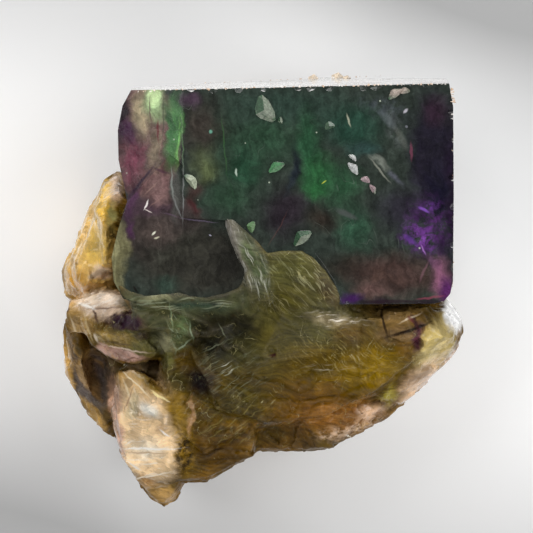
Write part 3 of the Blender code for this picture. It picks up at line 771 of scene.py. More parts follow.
# On the base: name, centre, half size, colour, height, depth, softness, turn, strength, grain
BASE_ZONES = [
    # the frosted growth over the crystal's foot and below it
    ("growth ground", (272, 308), (112, 82), (76, 72, 42), 41, 13, 0.4),
    ("sill ground", (176, 305), (82, 28), (62, 66, 46), 40.5, 10, 0.4),
    ("fin ground", (242, 250), (20, 54), (92, 92, 78), 42.5, 8, 0.4, 24),
    ("growth top", (291, 268), (32, 24), (84, 82, 46), 42, 9),
    ("growth middle", (282, 305), (32, 26), (66, 61, 24), 42, 12, 0.9),
    ("growth low", (272, 338), (26, 18), (80, 72, 32), 40, 12, 0.9),
    ("growth right flank", (330, 292), (10, 22), (72, 62, 40), 42, 8, 0.8, 30),
    ("fin pale", (233, 242), (10, 36), (128, 124, 116), 42.5, 8, 0.7, 22),
    ("fin foot pale", (248, 274), (8, 14), (112, 110, 92), 42.5, 8, 0.9, 14),
    ("fin green", (254, 262), (12, 34), (74, 84, 58), 42.5, 6, 0.7, 24),
    ("sill green", (196, 306), (46, 7), (52, 64, 50), 41, 8),
    ("sill fade", (190, 293), (62, 5), (46, 47, 41), 41, 8, 0.7, 0, 0.85),
    ("sill left", (160, 310), (18, 8), (78, 78, 48), 40, 8),
    ("sill crest", (158, 298), (20, 5), (116, 116, 88), 41, 8, 0.8, 8),
    ("sill fade right", (234, 284), (12, 6), (50, 50, 42), 41, 8, 0.8, 34, 0.8),
    ("sill right", (236, 300), (18, 9), (72, 74, 50), 41, 8, 0.8, 18),
    # painted shade below the sill and under the panel
    ("sill dark", (226, 325), (30, 12), (28, 27, 18), 39, 10, 0.6),
    ("white patch ground", (334, 319), (28, 7), (146, 132, 100), 40, 16, 0.9, -6),
    ("brown right of the growth", (352, 332), (22, 14), (98, 76, 38), 38, 16, 0.9),
    ("shadow green under the panel", (216, 330), (42, 22), (32, 30, 16), 38, 16, 0.7),
    ("moss under the panel", (226, 352), (34, 20), (48, 46, 24), 36, 16, 0.9),
    # the olive and brown mass
    ("olive centre", (318, 364), (54, 24), (90, 70, 10), 38, 16, 0.9),
    ("yellow olive right", (372, 368), (38, 22), (134, 106, 20), 37, 16, 0.9),
    ("yellow seam", (352, 378), (30, 5), (150, 122, 30), 36, 16, 0.9, 12, 1, "across"),
    ("brown lower middle", (310, 414), (66, 26), (108, 72, 18), 33, 16),
    ("red brown foot", (344, 416), (46, 20), (142, 96, 44), 30, 14),
    # painted pinkish-white glints along the foot's lower edge
    ("foot lights", (350, 428), (36, 8), (216, 182, 150), 26, 16, 0.9, 14, 1, "mottle"),
    ("dark olive left", (240, 398), (46, 32), (72, 60, 12), 35, 16, 0.9),
    ("brown bottom left", (214, 448), (44, 26), (80, 55, 10), 28, 14),
    ("dark purple patch", (202, 380), (20, 18), (22, 13, 17), 32, 16, 0.7),
    ("left mass shade", (236, 412), (50, 40), (36, 32, 8), 32, 16, 0.8, 0, 0.5, "mottle"),
    # painted shade in the hollow under the panel
    ("dark hollow", (214, 348), (20, 12), (26, 24, 12), 38, 16, 0.9),
    ("hole", (272, 352), (4, 4), (52, 22, 20), 38, 16, 0.7),
    # the ledge on the right
    ("ledge yellow", (396, 316), (28, 12), (146, 116, 70), 37, 16),
    ("ledge pink", (398, 334), (22, 10), (132, 106, 72), 37, 16),
    ("ledge pale green", (436, 346), (20, 36), (206, 184, 118), 33, 16, 0.7, -26),
    ("ledge flesh", (420, 382), (15, 38), (214, 178, 142), 30, 18, 0.8, -44),
    ("ledge flesh edge", (438, 373), (5, 46), (255, 226, 204), 24, 18, 0.8, -40),
    ("ledge yellow foot", (388, 398), (8, 14), (168, 152, 60), 32, 14, 0.8, -20),
    # a painted highlight: the small facet at the ledge's right tip, painted white
    ("ledge white facet", (455, 313), (14, 18), (255, 255, 255), 24, 18, 0.4),
    ("ledge purple", (418, 338), (7, 14), (86, 48, 60), 36, 10, 0.6, -6),
    ("lower right pink", (372, 412), (18, 9), (214, 176, 142), 30, 14, 0.7, 24),
    # the left rim: its own ochre, brightened as a painted glow at the thin edge, with painted highlights
    ("rim ochre", (84, 250), (36, 76), (236, 194, 120), 20, 22, 0.5),
    ("rim yellow", (98, 252), (14, 36), (230, 192, 100), 26, 16),
    ("rim cream", (90, 224), (10, 28), (255, 232, 184), 21, 16, 0.8, -20, 1, "rise"),
    ("rim upper ochre", (104, 200), (16, 24), (252, 204, 96), 24, 18, 0.6),
    ("rim upper pink", (117, 190), (8, 16), (240, 206, 176), 20, 14),
    ("rim olive flake", (113, 218), (6, 20), (150, 142, 88), 30, 10, 0.7),
    ("rim deep ochre", (76, 286), (16, 24), (206, 150, 54), 20, 20),
    ("rim brown stain", (76, 262), (8, 6), (150, 112, 46), 22, 16, 0.9, 0, 1, "mottle"),
    ("rim pink light", (102, 271), (12, 8), (248, 218, 190), 24, 14, 0.7),
    # the left knobs; the pearly cleavage face carries painted highlights
    ("bright cleavage", (98, 303), (32, 17), (204, 178, 154), 32, 14, 0.5, -6),
    ("cleavage white", (88, 300), (14, 7), (240, 216, 190), 29, 14),
    ("cleavage light", (106, 299), (18, 8), (255, 232, 208), 33, 14, 0.7, -10),
    ("cleavage lower left", (80, 328), (14, 16), (164, 132, 80), 27, 14, 0.6),
    ("cleavage dark seam", (128, 306), (16, 6), (84, 78, 58), 35, 16, 0.9, -20),
    ("knob green", (146, 338), (42, 24), (84, 80, 42), 34, 16, 0.7),
    ("knob purple band", (127, 322), (27, 8), (44, 20, 36), 35, 24, 0.5, 2),
    ("knob green right of the band", (156, 326), (12, 18), (66, 68, 46), 38, 16),
    ("knob yellow", (114, 339), (24, 9), (158, 132, 72), 32, 14),
    ("knob dark right", (142, 334), (10, 7), (46, 36, 26), 35, 16, 0.9),
    ("knob pink facet", (121, 354), (27, 8), (190, 150, 134), 31, 20, 0.35, -8),
    ("green lump", (181, 332), (13, 22), (68, 74, 46), 39, 14, 0.5),
    ("green lump left", (164, 344), (12, 14), (120, 118, 88), 37, 12, 0.7),
    ("green lump foot", (168, 362), (9, 12), (100, 98, 52), 36, 12, 0.7),
    ("green lump light", (184, 328), (6, 12), (84, 100, 66), 39, 10, 0.9, 0, 1, "mottle"),
    # the recess and its rim
    ("recess", (91, 382), (26, 38), (92, 82, 76), 19, 14, 0.5),
    ("recess floor light", (94, 366), (9, 12), (130, 110, 104), 14, 12, 0.9, 0, 1, "mottle"),
    ("gap brown", (146, 377), (24, 12), (92, 78, 44), 28, 16, 0.7),
    ("gap yellow", (157, 392), (16, 6), (140, 116, 36), 31, 14, 0.7, -28),
    ("gap olive right", (176, 382), (15, 22), (62, 54, 22), 34, 14, 0.7),
    ("recess rim", (67, 372), (7, 44), (208, 164, 92), 14, 12, 0.6, 8),
    ("recess lower rim", (92, 414), (8, 24), (190, 150, 84), 14, 12, 0.6, 38),
    # the prong: pearly cream, with painted highlights and painted shade
    ("prong pearl", (146, 430), (38, 66), (242, 208, 162), 27, 18, 0.35, 4),
    ("prong upper olive", (152, 385), (22, 8), (120, 98, 40), 30, 14, 0.6, -37),
    ("prong green tint", (132, 406), (7, 18), (206, 188, 150), 28, 14, 0.9, -14),
    ("prong bright spot", (148, 410), (12, 7), (255, 250, 236), 30, 12, 0.8, -30),
    ("prong shade", (160, 430), (9, 6), (196, 164, 126), 28, 14, 0.8, 30),
    ("prong shade low", (146, 482), (12, 8), (176, 138, 92), 22, 14, 0.8, -20),
    ("prong pink left", (120, 442), (7, 26), (222, 178, 154), 25, 14, 0.8, 10),
    ("prong cream", (146, 450), (20, 14), (255, 236, 206), 26, 14, 0.9),
    ("prong mauve left", (114, 404), (8, 30), (206, 164, 138), 24, 14, 0.7, 6),
    ("prong ochre right", (176, 410), (13, 26), (140, 110, 44), 30, 14, 0.7, 10),
    ("prong brown right", (186, 448), (10, 32), (142, 110, 40), 26, 14, 0.7),
    ("prong dark spots", (185, 452), (11, 30), (30, 18, 4), 26, 14, 0.7, 0, 1, "mottle"),
    ("prong ochre spots", (178, 430), (6, 22), (186, 148, 74), 28, 14, 0.8, 0, 1, "up"),
    ("prong tip", (162, 496), (15, 14), (214, 168, 96), 21, 14),
    ("spike pale", (190, 416), (3, 20), (170, 132, 92), 32, 5, 0.6, -3),
]
# Pale fibres of the frosted growth and of the mass around it, and the lines of the prong
BASE_FIBRES = [
    ("growth fibres", (318, 274), (24, 34), (176, 172, 132), 42, 8, 0.8, 30, 0.62, "down"),
    ("growth top fibres", (288, 268), (30, 22), (150, 150, 108), 42, 8, 0.9, 0, 0.5, "down"),
    ("growth low fibres", (292, 300), (30, 20), (150, 142, 100), 42, 10, 0.9, 0, 0.5, "down"),
    ("fin white edge", (236, 246), (10, 46), (200, 196, 192), 42.5, 8, 0.7, 24, 0.9, "steep"),
    ("fin fibres", (252, 270), (16, 36), (184, 184, 166), 42, 8, 0.9, 20, 0.75, "steep"),
    ("sill fibres", (186, 303), (64, 10), (150, 156, 128), 41, 8, 0.8, 0, 0.6, "across"),
    ("sill left fibres", (142, 302), (26, 8), (120, 128, 104), 41, 8, 0.8, 0, 0.6, "across"),
    ("white patch", (334, 319), (32, 7), (240, 228, 208), 40, 10, 0.9, -6, 0.85, "across"),
    ("right mass fibres", (340, 352), (60, 28), (176, 158, 92), 37, 14, 0.9, 0, 0.5, "down"),
    ("white streak", (328, 366), (24, 5), (210, 202, 176), 35, 12, 0.9, 2, 0.8, "across"),
    ("left mass fibres", (232, 366), (38, 36), (146, 150, 120), 36, 14, 0.9, 0, 0.4, "up"),
    ("left white fibres", (227, 364), (7, 13), (200, 198, 176), 36, 12, 0.8, 30, 0.5, "up"),
    ("low mass fibres", (236, 420), (48, 30), (156, 142, 78), 31, 16, 0.9, 0, 0.45, "up"),
    ("foot fibres", (330, 416), (56, 18), (176, 140, 92), 28, 12, 0.9, 0, 0.4, "across"),
    ("rim fibres", (86, 246), (30, 66), (250, 226, 170), 22, 20, 0.6, 0, 0.5, "rise"),
    ("cleavage fibres", (94, 302), (26, 12), (255, 250, 240), 32, 12, 0.6, 0, 0.7, "across"),
    ("prong lines", (146, 452), (30, 44), (255, 250, 238), 26, 16, 0.6, 0, 0.5, "across"),
    ("prong steep lines", (136, 406), (18, 30), (255, 246, 226), 28, 16, 0.7, 0, 0.4, "steep"),
    ("lump lines", (178, 332), (16, 24), (160, 174, 142), 38, 12, 0.7, 0, 0.5, "steep"),
]
BASE_STROKES = [
    ("ledge crack", (387, 337), (430, 323), 2.8, (26, 16, 12), 0.95, 37),
    ("ledge crack steep", (380, 308), (387, 336), 2.2, (34, 22, 14), 0.9, 37),
    ("ledge crack right", (411, 314), (419, 330), 2.8, (58, 26, 30), 0.9, 37),
    ("ledge shade", (376, 305), (438, 303), 3, (34, 26, 14), 0.9, 38),
    ("cleavage seam", (92, 308), (98, 322), 2.2, (66, 40, 34), 0.85, 32),
    ("cleavage edge", (78, 312), (118, 308), 1.8, (96, 72, 60), 0.7, 33),
    ("cleavage glint", (74, 296), (90, 287), 5, (255, 248, 238), 0.95, 28),
    ("cleavage glint low", (75, 304), (94, 309), 2.4, (255, 250, 240), 0.85, 30),
    ("cleavage glint right", (98, 305), (114, 299), 2, (255, 244, 230), 0.7, 33),
    ("rim glint", (90, 278), (108, 268), 5, (255, 236, 212), 0.95, 24),
    ("rim glint high", (98, 234), (108, 250), 2.6, (255, 236, 190), 0.6, 26),
    ("knob glint", (94, 334), (98, 344), 2.6, (240, 220, 190), 0.7, 31),
    ("knob streak", (71, 318), (80, 344), 2.2, (228, 204, 160), 0.6, 27),
    ("knob streak beside it", (84, 316), (92, 340), 1.8, (210, 186, 136), 0.6, 29),
    ("knob seam low", (78, 322), (88, 346), 1.4, (92, 64, 40), 0.6, 28),
    ("knob pink top", (95, 346), (146, 352), 1.4, (226, 200, 176), 0.7, 33),
    ("knob pink shade", (98, 343), (134, 346), 2, (84, 66, 40), 0.7, 34),
    ("knob pink low", (114, 363), (146, 354), 1.4, (96, 68, 56), 0.6, 30),
    ("lump edge", (170, 304), (172, 328), 1.4, (124, 138, 104), 0.7, 40),
    ("lump foot edge", (176, 352), (190, 340), 1.4, (150, 164, 134), 0.7, 38),
    ("lump right edge", (190, 322), (193, 340), 1.4, (140, 156, 124), 0.7, 38),
    ("wisp by the lump", (218, 322), (226, 336), 1.2, (120, 124, 100), 0.7, 37),
    ("wisp by the lump low", (204, 352), (224, 340), 1.2, (120, 124, 100), 0.7, 37),
    ("knob seam", (67, 312), (70, 300), 2.6, (70, 26, 20), 0.8, 27),
    # lines on the prong: mostly painted highlights, with painted shade under the crossing line
    ("prong top edge", (122, 372), (148, 396), 1.6, (250, 232, 194), 0.8, 31),
    ("prong gold glint", (152, 391), (168, 401), 1.8, (255, 236, 170), 0.9, 31),
    ("prong ridge", (123, 380), (134, 410), 1.6, (236, 216, 176), 0.7, 29),
    ("prong seam", (124, 412), (132, 388), 1.3, (140, 100, 74), 0.6, 29),
    ("prong cross", (122, 450), (178, 447), 2, (255, 252, 244), 0.8, 26),
    ("prong cross shade", (124, 454), (168, 452), 1.6, (178, 142, 106), 0.6, 26),
    ("prong glint", (160, 430), (170, 436), 1.8, (255, 250, 240), 0.8, 28),
    ("prong glint low", (128, 462), (140, 470), 1.8, (255, 250, 240), 0.7, 24),
    ("prong cross low", (130, 482), (172, 470), 1.6, (255, 244, 222), 0.7, 23),
    # a painted glint on the foot's lower edge
    ("foot spark", (345, 432), (352, 438), 1.5, (240, 226, 200), 0.8, 24),
    ("ledge glint", (400, 322), (420, 314), 1.8, (226, 204, 170), 0.7, 37),
    ("ledge red mark", (408, 316), (414, 322), 3, (120, 64, 60), 0.8, 37),
    ("foot crack", (262, 374), (268, 378), 1.8, (40, 26, 14), 0.8, 34),
    ("foot crack low", (262, 424), (268, 421), 2.2, (36, 22, 12), 0.8, 30),
    ("bottom crack", (212, 449), (222, 447), 1.8, (36, 22, 10), 0.8, 26),
]


def new_material(name):
    """A material, its node tree and shader, and the object coordinates in mm."""
    material = bpy.data.materials.new(name)
    material.use_nodes = True
    tree = material.node_tree
    place = vector_calc(tree, "SCALE", add(tree, "ShaderNodeTexCoord").outputs["Object"])
    place.inputs["Scale"].default_value = 1 / MM
    return material, tree, tree.nodes["Principled BSDF"], place.outputs[0]


def bumped(tree, relief, depth):
    """A normal that follows a relief of a depth in mm."""
    return add(tree, "ShaderNodeBump", {"Height": relief, "Distance": depth * MM, "Strength": 0.5}).outputs[0]


def absorb(tree, colour, density):
    """Tints the light that goes through the stone."""
    volume = add(tree, "ShaderNodeVolumeAbsorption", {"Color": srgb(*colour), "Density": density})
    tree.links.new(volume.outputs[0], tree.nodes["Material Output"].inputs["Volume"])


def shared_grains(tree, place):
    """Textures that break up a zone: streaks along several directions, and soft mottling."""
    mottle = noise_at(tree, warped(tree, place, 0.7, 1.2), 0.9, 4.0, 0.7)
    return {
        "mottle": ramp(tree, mottle, 0.36, 0.62),
        "upright": fibres(tree, place, 88, (4.0, 0.4, 2.0), 0.4, 0.6),
        "across": fibres(tree, place, 4),
        "down": fibres(tree, place, -48, (3.2, 0.24, 1.2)),
        "steep": fibres(tree, place, -68, (3.6, 0.28, 1.4)),
        "up": fibres(tree, place, 34),
        "rise": fibres(tree, place, 62),
    }


FLUORITE_IOR = 1.434
STONE_TRANSMISSION = 0.14

# Wisps on the base: scale, width, where they start, turn, stretch, strength
WISPS = [
    (0.45, 0.008, 0.52, -35, (0.7, 1.7, 1.0), 0.6),
    (0.8, 0.012, 0.54, 30, (0.7, 1.7, 1.0), 0.45),
]


def crystal_material():
    material, tree, shader, place = new_material("fluorite_cube")
    soft_place = warped(tree, place, 0.22, 3.4)
    bent = warped(tree, soft_place, 0.9, 1.1)
    grains = shared_grains(tree, place)

    # growth bands parallel to the faces, for the sides and back
    parts = add(tree, "ShaderNodeSeparateXYZ", {0: warped(tree, place, 0.12, 5.0)})
    depth_wave = calc(tree, "SINE", calc(tree, "MULTIPLY", parts.outputs["Z"], 0.55))
    side_wave = calc(tree, "SINE", calc(tree, "MULTIPLY", parts.outputs["X"], 0.21))
    bands = ramp(tree, calc(tree, "ADD", depth_wave, side_wave), -0.9, 1.1)
    colour = mix(tree, bands, srgb(40, 58, 48), srgb(58, 40, 62))
    veil = ramp(tree, noise_at(tree, soft_place, 0.3, 4.0), 0.48, 0.68)
    colour = mix(tree, calc(tree, "MULTIPLY", veil, 0.35), colour, srgb(72, 84, 70))
    face = ramp(tree, axis_of(tree, place, "Z"), FACE_Z - 12, FACE_Z - 2)
    colour = mix(tree, face, colour, srgb(48, 56, 50))
    colour = paint(tree, colour, bent, grains, face_zone, CUBE_ZONES)
    clear_place = warped(tree, place, 0.5, 0.7)

    # veils, healed cracks and specks inside the crystal, and tiny painted glints
    cloud = noise_at(tree, bent, 0.55, 5.0, 0.62)
    colour = shaded(tree, colour, ramp(tree, cloud, 0.3, 0.72, 0.68, 1.34))
    streaks = noise_at(tree, turned(tree, bent, (0.7, 4.0, 4.0), 6), 1.0, 3.0, 0.6)
    colour = shaded(tree, colour, ramp(tree, streaks, 0.32, 0.7, 0.8, 1.22))
    fine = noise_at(tree, clear_place, 2.6, 3.0, 0.7)
    colour = shaded(tree, colour, ramp(tree, fine, 0.3, 0.7, 0.86, 1.16))
    colour = paint(tree, colour, clear_place, grains, stroke, CUBE_STROKES)
    lines = wisp_lines(tree, place, 0.3, 0.005, 0.58, 20, (0.8, 1.6, 1.6))
    colour = mix(tree, calc(tree, "MULTIPLY", lines, 0.3), colour, srgb(130, 140, 130))
    # tiny bright specks: partly specks in the crystal, partly painted glints
    cells = add(tree, "ShaderNodeTexVoronoi", {"Vector": place, "Scale": 0.85})
    small = ramp(tree, cells.outputs["Distance"], 0.16, 0.06)
    draw = add(tree, "ShaderNodeSeparateColor", {0: cells.outputs["Color"]}).outputs[0]
    chosen = ramp(tree, draw, 0.955, 0.965)
    specks_and_glints = calc(tree, "MULTIPLY", small, chosen)
    colour = mix(tree, calc(tree, "MULTIPLY", specks_and_glints, 0.8), colour, srgb(190, 200, 180))

    # the upper side is painted near white: partly frosting, partly a painted highlight, less so towards the
    # back
    facing = add(tree, "ShaderNodeNewGeometry").outputs["True Normal"]
    faces_up = ramp(tree, axis_of(tree, facing, "Y"), 0.7, 0.9)
    height = axis_of(tree, place, "Z")
    upper_side = calc(tree, "MULTIPLY", faces_up, ramp(tree, height, 2, 26, 0.75, 1.0))
    frost_and_glare = ramp(tree, noise_at(tree, soft_place, 0.3, 4.0), 0.3, 0.6, 0.66, 1.0)
    frosted = calc(tree, "MULTIPLY", upper_side, frost_and_glare)
    whiteness = ramp(tree, height, -6, 26)
    colour = mix(tree, frosted, colour, mix(tree, whiteness, srgb(214, 218, 212), srgb(248, 246, 244)))

    relief = noise_at(tree, turned(tree, place, (1.0, 1.6, 1.6)), 1.3, 4.0, 0.6)
    fill(tree, shader, {
        "Base Color": colour,
        "Roughness": ramp(tree, noise_at(tree, bent, 0.8, 4.0), 0.3, 0.7, 0.1, 0.3),
        "Normal": bumped(tree, relief, 0.06),
        "IOR": FLUORITE_IOR,
        "Transmission Weight": STONE_TRANSMISSION,
        "Specular IOR Level": 0.3,
        "Coat Weight": 0.3,
        "Coat Roughness": 0.04,
    })
    absorb(tree, (90, 120, 95), 260.0)
    return material


def base_material():
    material, tree, shader, place = new_material("fluorite_base")
    soft_place = warped(tree, place, 0.3, 2.6)
    bent = warped(tree, soft_place, 1.1, 0.9)
    grains = shared_grains(tree, place)
    clear_place = warped(tree, place, 0.5, 0.8)
    patches = ramp(tree, noise_at(tree, soft_place, 0.14, 4.0), 0.4, 0.6)
    colour = mix(tree, patches, srgb(*BASE_GROUND), srgb(*BASE_GROUND_BROWN))
    colour = paint(tree, colour, bent, grains, Zone, BASE_ZONES)

    # thin rims get a painted ochre glow, hollows painted dark brown shade; ridges are frosted
    lower = ramp(tree, axis_of(tree, place, "Z"), 37, 31, 0.0, 0.35)
    glow = calc(tree, "MULTIPLY", ramp(tree, attribute(tree, "thin"), 0.3, 0.9), lower)
    colour = mix(tree, glow, colour, srgb(206, 158, 74))
    cloud = noise_at(tree, bent, 0.3, 4.0, 0.55)
    colour = shaded(tree, colour, ramp(tree, cloud, 0.32, 0.7, 0.72, 1.28))
    light = add(tree, "ShaderNodeRGBToBW", {0: colour}).outputs[0]
    pale = ramp(tree, light, 0.12, 0.4, 0.3, 1.0)
    calm = ramp(tree, light, 0.12, 0.4, 1.0, 0.35)
    flowing = warped(tree, place, 0.08, 11.0)
    strands = noise_at(tree, turned(tree, flowing, (4.5, 0.5, 1.4), -12), 1.0, 4.0, 0.68)
    swing = ramp(tree, strands, 0.32, 0.7, -0.34, 0.4)
    colour = shaded(tree, colour, calc(tree, "MULTIPLY_ADD", swing, calm, 1.0))
    # each flake is made lighter or darker at random, most on pale parts: painted light standing in for facets
    # that catch it differently
    painted_facet_light = ramp(tree, flakes(tree, place, (3.4, 1.5, 2.0), 12), 0.0, 1.0, -0.24, 0.24, smooth=False)
    colour = shaded(tree, colour, calc(tree, "MULTIPLY_ADD", painted_facet_light, pale, 1.0))
    stain = ramp(tree, noise_at(tree, bent, 0.42, 5.0, 0.7), 0.6, 0.74)
    colour = mix(tree, calc(tree, "MULTIPLY", stain, 0.3), colour, srgb(60, 38, 10))
    # painted shade in the hollows, and pale frosting on the ridges
    for name, share, tint in (("hollow", 0.2, (30, 24, 8)), ("ridge", 0.05, (210, 190, 150))):
        colour = mix(tree, calc(tree, "MULTIPLY", attribute(tree, name), share), colour, srgb(*tint))
    vivid = {"Color": colour, "Saturation": BASE_SATURATION}
    colour = add(tree, "ShaderNodeHueSaturation", vivid).outputs[0]
    colour = paint(tree, colour, bent, grains, Zone, BASE_FIBRES)
    colour = paint(tree, colour, clear_place, grains, stroke, BASE_STROKES)
    for scale, width, where, turn, size, strength in WISPS:
        lines = wisp_lines(tree, place, scale, width, where, turn, size)
        colour = mix(tree, calc(tree, "MULTIPLY", lines, strength), colour, srgb(184, 174, 120))

    # the pale cleavage faces are pearly, the dark mass is duller
    light = add(tree, "ShaderNodeRGBToBW", {0: colour}).outputs[0]
    relief = noise_at(tree, turned(tree, place, (0.7, 1.5, 1.0), 25), 1.4, 5.0, 0.6)
    fill(tree, shader, {
        "Base Color": colour,
        "Roughness": ramp(tree, noise_at(tree, bent, 1.0, 4.0), 0.3, 0.7, 0.22, 0.42),
        "Normal": bumped(tree, relief, 0.14),
        "Coat Weight": ramp(tree, light, 0.1, 0.4, 0.0, 0.9),
        "IOR": FLUORITE_IOR,
        "Transmission Weight": STONE_TRANSMISSION,
        "Specular IOR Level": 0.06,
        "Coat Roughness": 0.1,
    })
    absorb(tree, (200, 150, 40), 150.0)
    return material


SMALL_CRYSTAL_ZONES = [
    ("white pair", (352, 166), (9, 12), (214, 216, 214), FACE_Z, 6, 0.3),
    ("pinkish pair", (367, 185), (10, 11), (176, 152, 156), FACE_Z, 6, 0.3),
    ("pale wedge", (192, 182), (8, 9), (196, 204, 176), FACE_Z, 6, 0.5, 0, 0.8),
    ("bright green one", (275, 168), (9, 7), (92, 158, 104), FACE_Z, 6, 0.4, 0, 0.8),
    ("green one by the fin", (250, 228), (8, 8), (118, 158, 106), FACE_Z, 6, 0.4, 0, 0.8),
    ("pinkish cluster", (396, 89), (14, 9), (214, 194, 182), FACE_Z, 6, 0.5, 0, 0.8),
    ("cluster centre", (397, 86), (4, 4), (92, 124, 88), FACE_Z, 6, 0.7),
    ("dim green one", (329, 126), (9, 8), (70, 98, 74), FACE_Z, 6, 0.4),
    ("upper side pair", (326, 77), (30, 8), (246, 226, 200), 11, 8, 0.3),
]


def small_crystal_material():
    material, tree, shader, place = new_material("grown_crystals")
    # painted light by facing: faces turned towards +x and -y are paler, over random patches
    facing = add(tree, "ShaderNodeNewGeometry").outputs["True Normal"]
    painted_facing_light = vector_calc(tree, "DOT_PRODUCT", facing, Vector((0.75, -0.6, 0.2)).normalized()).outputs["Value"]
    patches = calc(tree, "ADD", noise_at(tree, place, 0.9, 3.0), calc(tree, "MULTIPLY", painted_facing_light, 0.35))
    colour = mix(tree, ramp(tree, patches, 0.4, 0.7), srgb(62, 96, 68), srgb(150, 160, 142))
    colour = paint(tree, colour, place, {}, Zone, SMALL_CRYSTAL_ZONES)
    fill(tree, shader, {
        "Base Color": shaded(tree, colour, ramp(tree, noise_at(tree, place, 2.4, 4.0), 0.3, 0.7, 0.7, 1.3)),
        "Roughness": 0.16,
        "IOR": FLUORITE_IOR,
        "Transmission Weight": 0.3,
        "Coat Weight": 0.6,
        "Coat Roughness": 0.04,
    })
    return material


def shard_material():
    material, tree, shader, place = new_material("edge_shards")
    patches = ramp(tree, noise_at(tree, place, 0.9, 3.0), 0.4, 0.6)
    fill(tree, shader, {
        "Base Color": mix(tree, patches, srgb(250, 246, 240), srgb(226, 196, 168)),
        "Roughness": 0.2,
        "IOR": FLUORITE_IOR,
        "Transmission Weight": 0.2,
        "Coat Weight": 0.5,
    })
    return material


# Pieces

def finish_piece(piece, material):
    piece.data.materials.clear()
    piece.data.materials.append(material)
    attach(piece, BODY)
    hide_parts(NODE)


def make_specimen():
    solid = welded_solid()
    solid_tree = tree_of(solid)
    back, face = CRYSTAL_BACK_Z - FACE_CLEARANCE, FACE_Z + FACE_CLEARANCE
    crystal_space = crystal_prism("crystal_space", back, face)
    front_space = crystal_prism("front_space", face, ABOVE_ALL)
    both_spaces = crystal_prism("both_spaces", back, ABOVE_ALL)
    crystal = boolean(solid.data, crystal_space, "INTERSECT", "cube_crystal")
    front = boolean(solid.data, front_space, "INTERSECT", "front")
    outside = boolean(solid.data, both_spaces, "DIFFERENCE", "outside")
    grown = keep_islands(front, "grown_crystals", GROWN_CRYSTAL_SPAN)
    join(grown, keep_islands(placed("outside", outside.data.copy()), "side_crystals", GROWN_CRYSTAL_SPAN))
    base = remeshed(keep_islands(outside, "base_body", BASE_SPAN), "broken_base")
    roughen(base.data)
    sink_into(base.data, crystal)
    growth = growth_sheet(solid_tree)
    for piece in (base, growth):
        add_surface_measures(piece.data, solid_tree)
    base.data.shade_smooth()
    base.data.set_sharp_from_angle(angle=CREASE_ANGLE)
    shards = edge_shards()
    for helper in (solid, crystal_space, front_space, both_spaces):
        bpy.data.objects.remove(helper)
    stone = base_material()
    finish_piece(crystal, crystal_material())
    finish_piece(base, stone)
    finish_piece(growth, stone)
    finish_piece(grown, small_crystal_material())
    finish_piece(shards, shard_material())


# Stage

# The floor, in mm: where it is painted lightest, and how far its painted light falls from there to its
# corners
FLOOR_SIDE = 6000.0
FLOOR_GLOW = 0.06
FLOOR_MIDDLE = 2.0
FALL_ALONG = 0.46
FALL_ALONG_RUN = (14.0, 56.0)
CORNER_FALL = 0.4
UPPER_RIGHT_FALL = (24.0, 60.0)
LOWER_LEFT_FALL = (-16.0, -58.0)
FLOOR_DARKEST = 0.36
FLOOR_DROP = 0.05


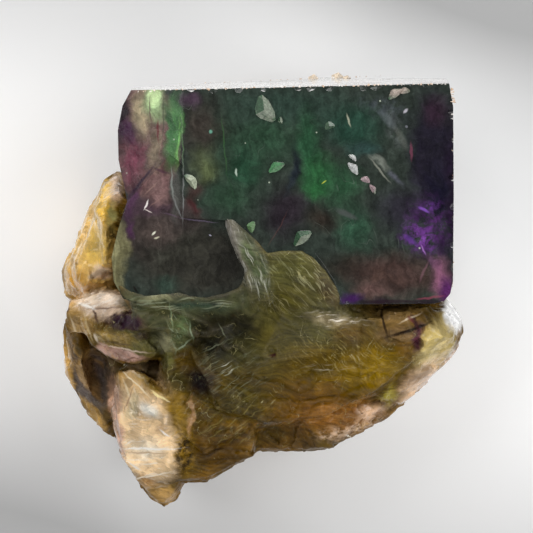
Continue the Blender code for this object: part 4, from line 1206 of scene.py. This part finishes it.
def make_floor():
    """A pale floor, painted lightest around the specimen and darker past it and towards two corners; it glows
    faintly.
    """
    bm = bmesh.new()
    bmesh.ops.create_grid(bm, x_segments=1, y_segments=1, size=FLOOR_SIDE / 2 * MM)
    bmesh.ops.translate(bm, vec=(0.0, 0.0, -FLOOR_DROP * MM), verts=bm.verts)
    floor = object_from("floor", bm)
    material, tree, shader, place = new_material("floor")
    away = calc(tree, "ABSOLUTE", calc(tree, "SUBTRACT", axis_of(tree, place, "Y"), FLOOR_MIDDLE))
    light = ramp(tree, away, *FALL_ALONG_RUN, 1.0, 1 - FALL_ALONG)
    diagonal = Vector((1.0, 1.0, 0.0)).normalized()
    across = vector_calc(tree, "DOT_PRODUCT", place, diagonal).outputs["Value"]
    for first, last in (UPPER_RIGHT_FALL, LOWER_LEFT_FALL):
        light = calc(tree, "SUBTRACT", light, ramp(tree, across, first, last, 0.0, CORNER_FALL))
    light = calc(tree, "MAXIMUM", light, FLOOR_DARKEST)
    fill(tree, shader, {
        "Base Color": light,
        "Emission Color": light,
        "Emission Strength": FLOOR_GLOW,
        "Roughness": 0.9,
        "Specular IOR Level": 0.1,
    })
    floor.data.materials.append(material)


def area_light(name, place, aim, size, power):
    light = bpy.data.lights.new(name, "AREA")
    light.shape = "RECTANGLE"
    light.size, light.size_y = size[0] * MM, size[1] * MM
    light.energy = power
    made = placed(name, light)
    made.location = Vector(place) * MM
    made.rotation_mode = "QUATERNION"
    made.rotation_quaternion = (Vector(aim) - Vector(place)).to_track_quat("-Z", "Y")


def make_lights():
    area_light("key_upper_left", (-420, 330, 620), (0, 0, 10), (640, 640), 4.0)
    area_light("fill_right", (520, 60, 520), (0, 0, 10), (600, 600), 3.2)
    area_light("upper_side", (40, 560, 150), (0, 20, 15), (900, 200), 1.8)
    area_light("lower_side", (60, -560, 420), (0, 0, 10), (600, 400), 1.8)
    world = bpy.data.worlds.new("studio")
    bpy.context.scene.world = world
    world.use_nodes = True
    tree = world.node_tree
    upwards = axis_of(tree, add(tree, "ShaderNodeTexCoord").outputs["Generated"], "Z")
    share = ramp(tree, upwards, 0.0, 0.85)
    colour = mix(tree, share, (0.6, 0.6, 0.6, 1.0), (0.06, 0.06, 0.06, 1.0))
    tree.links.new(colour, tree.nodes["Background"].inputs["Color"])


def make_camera():
    camera = placed("camera", bpy.data.cameras.new("camera"))
    back = Vector((0.0, math.sin(CAMERA_TILT), math.cos(CAMERA_TILT)))
    up = Vector((0.0, math.cos(CAMERA_TILT), -math.sin(CAMERA_TILT)))
    turn = Matrix((up.cross(back), up, back)).transposed()
    camera.matrix_world = Matrix.Translation((AIM + back * CAMERA_DISTANCE) * MM) @ turn.to_4x4()
    camera.data.sensor_width = SENSOR
    camera.data.lens = SENSOR * CAMERA_DISTANCE / FRAME_WIDTH
    camera.data.clip_start = 0.1
    camera.data.clip_end = 20.0
    bpy.context.scene.camera = camera


make_specimen()
make_floor()
make_lights()
make_camera()
bpy.context.scene.view_settings.view_transform = "Standard"
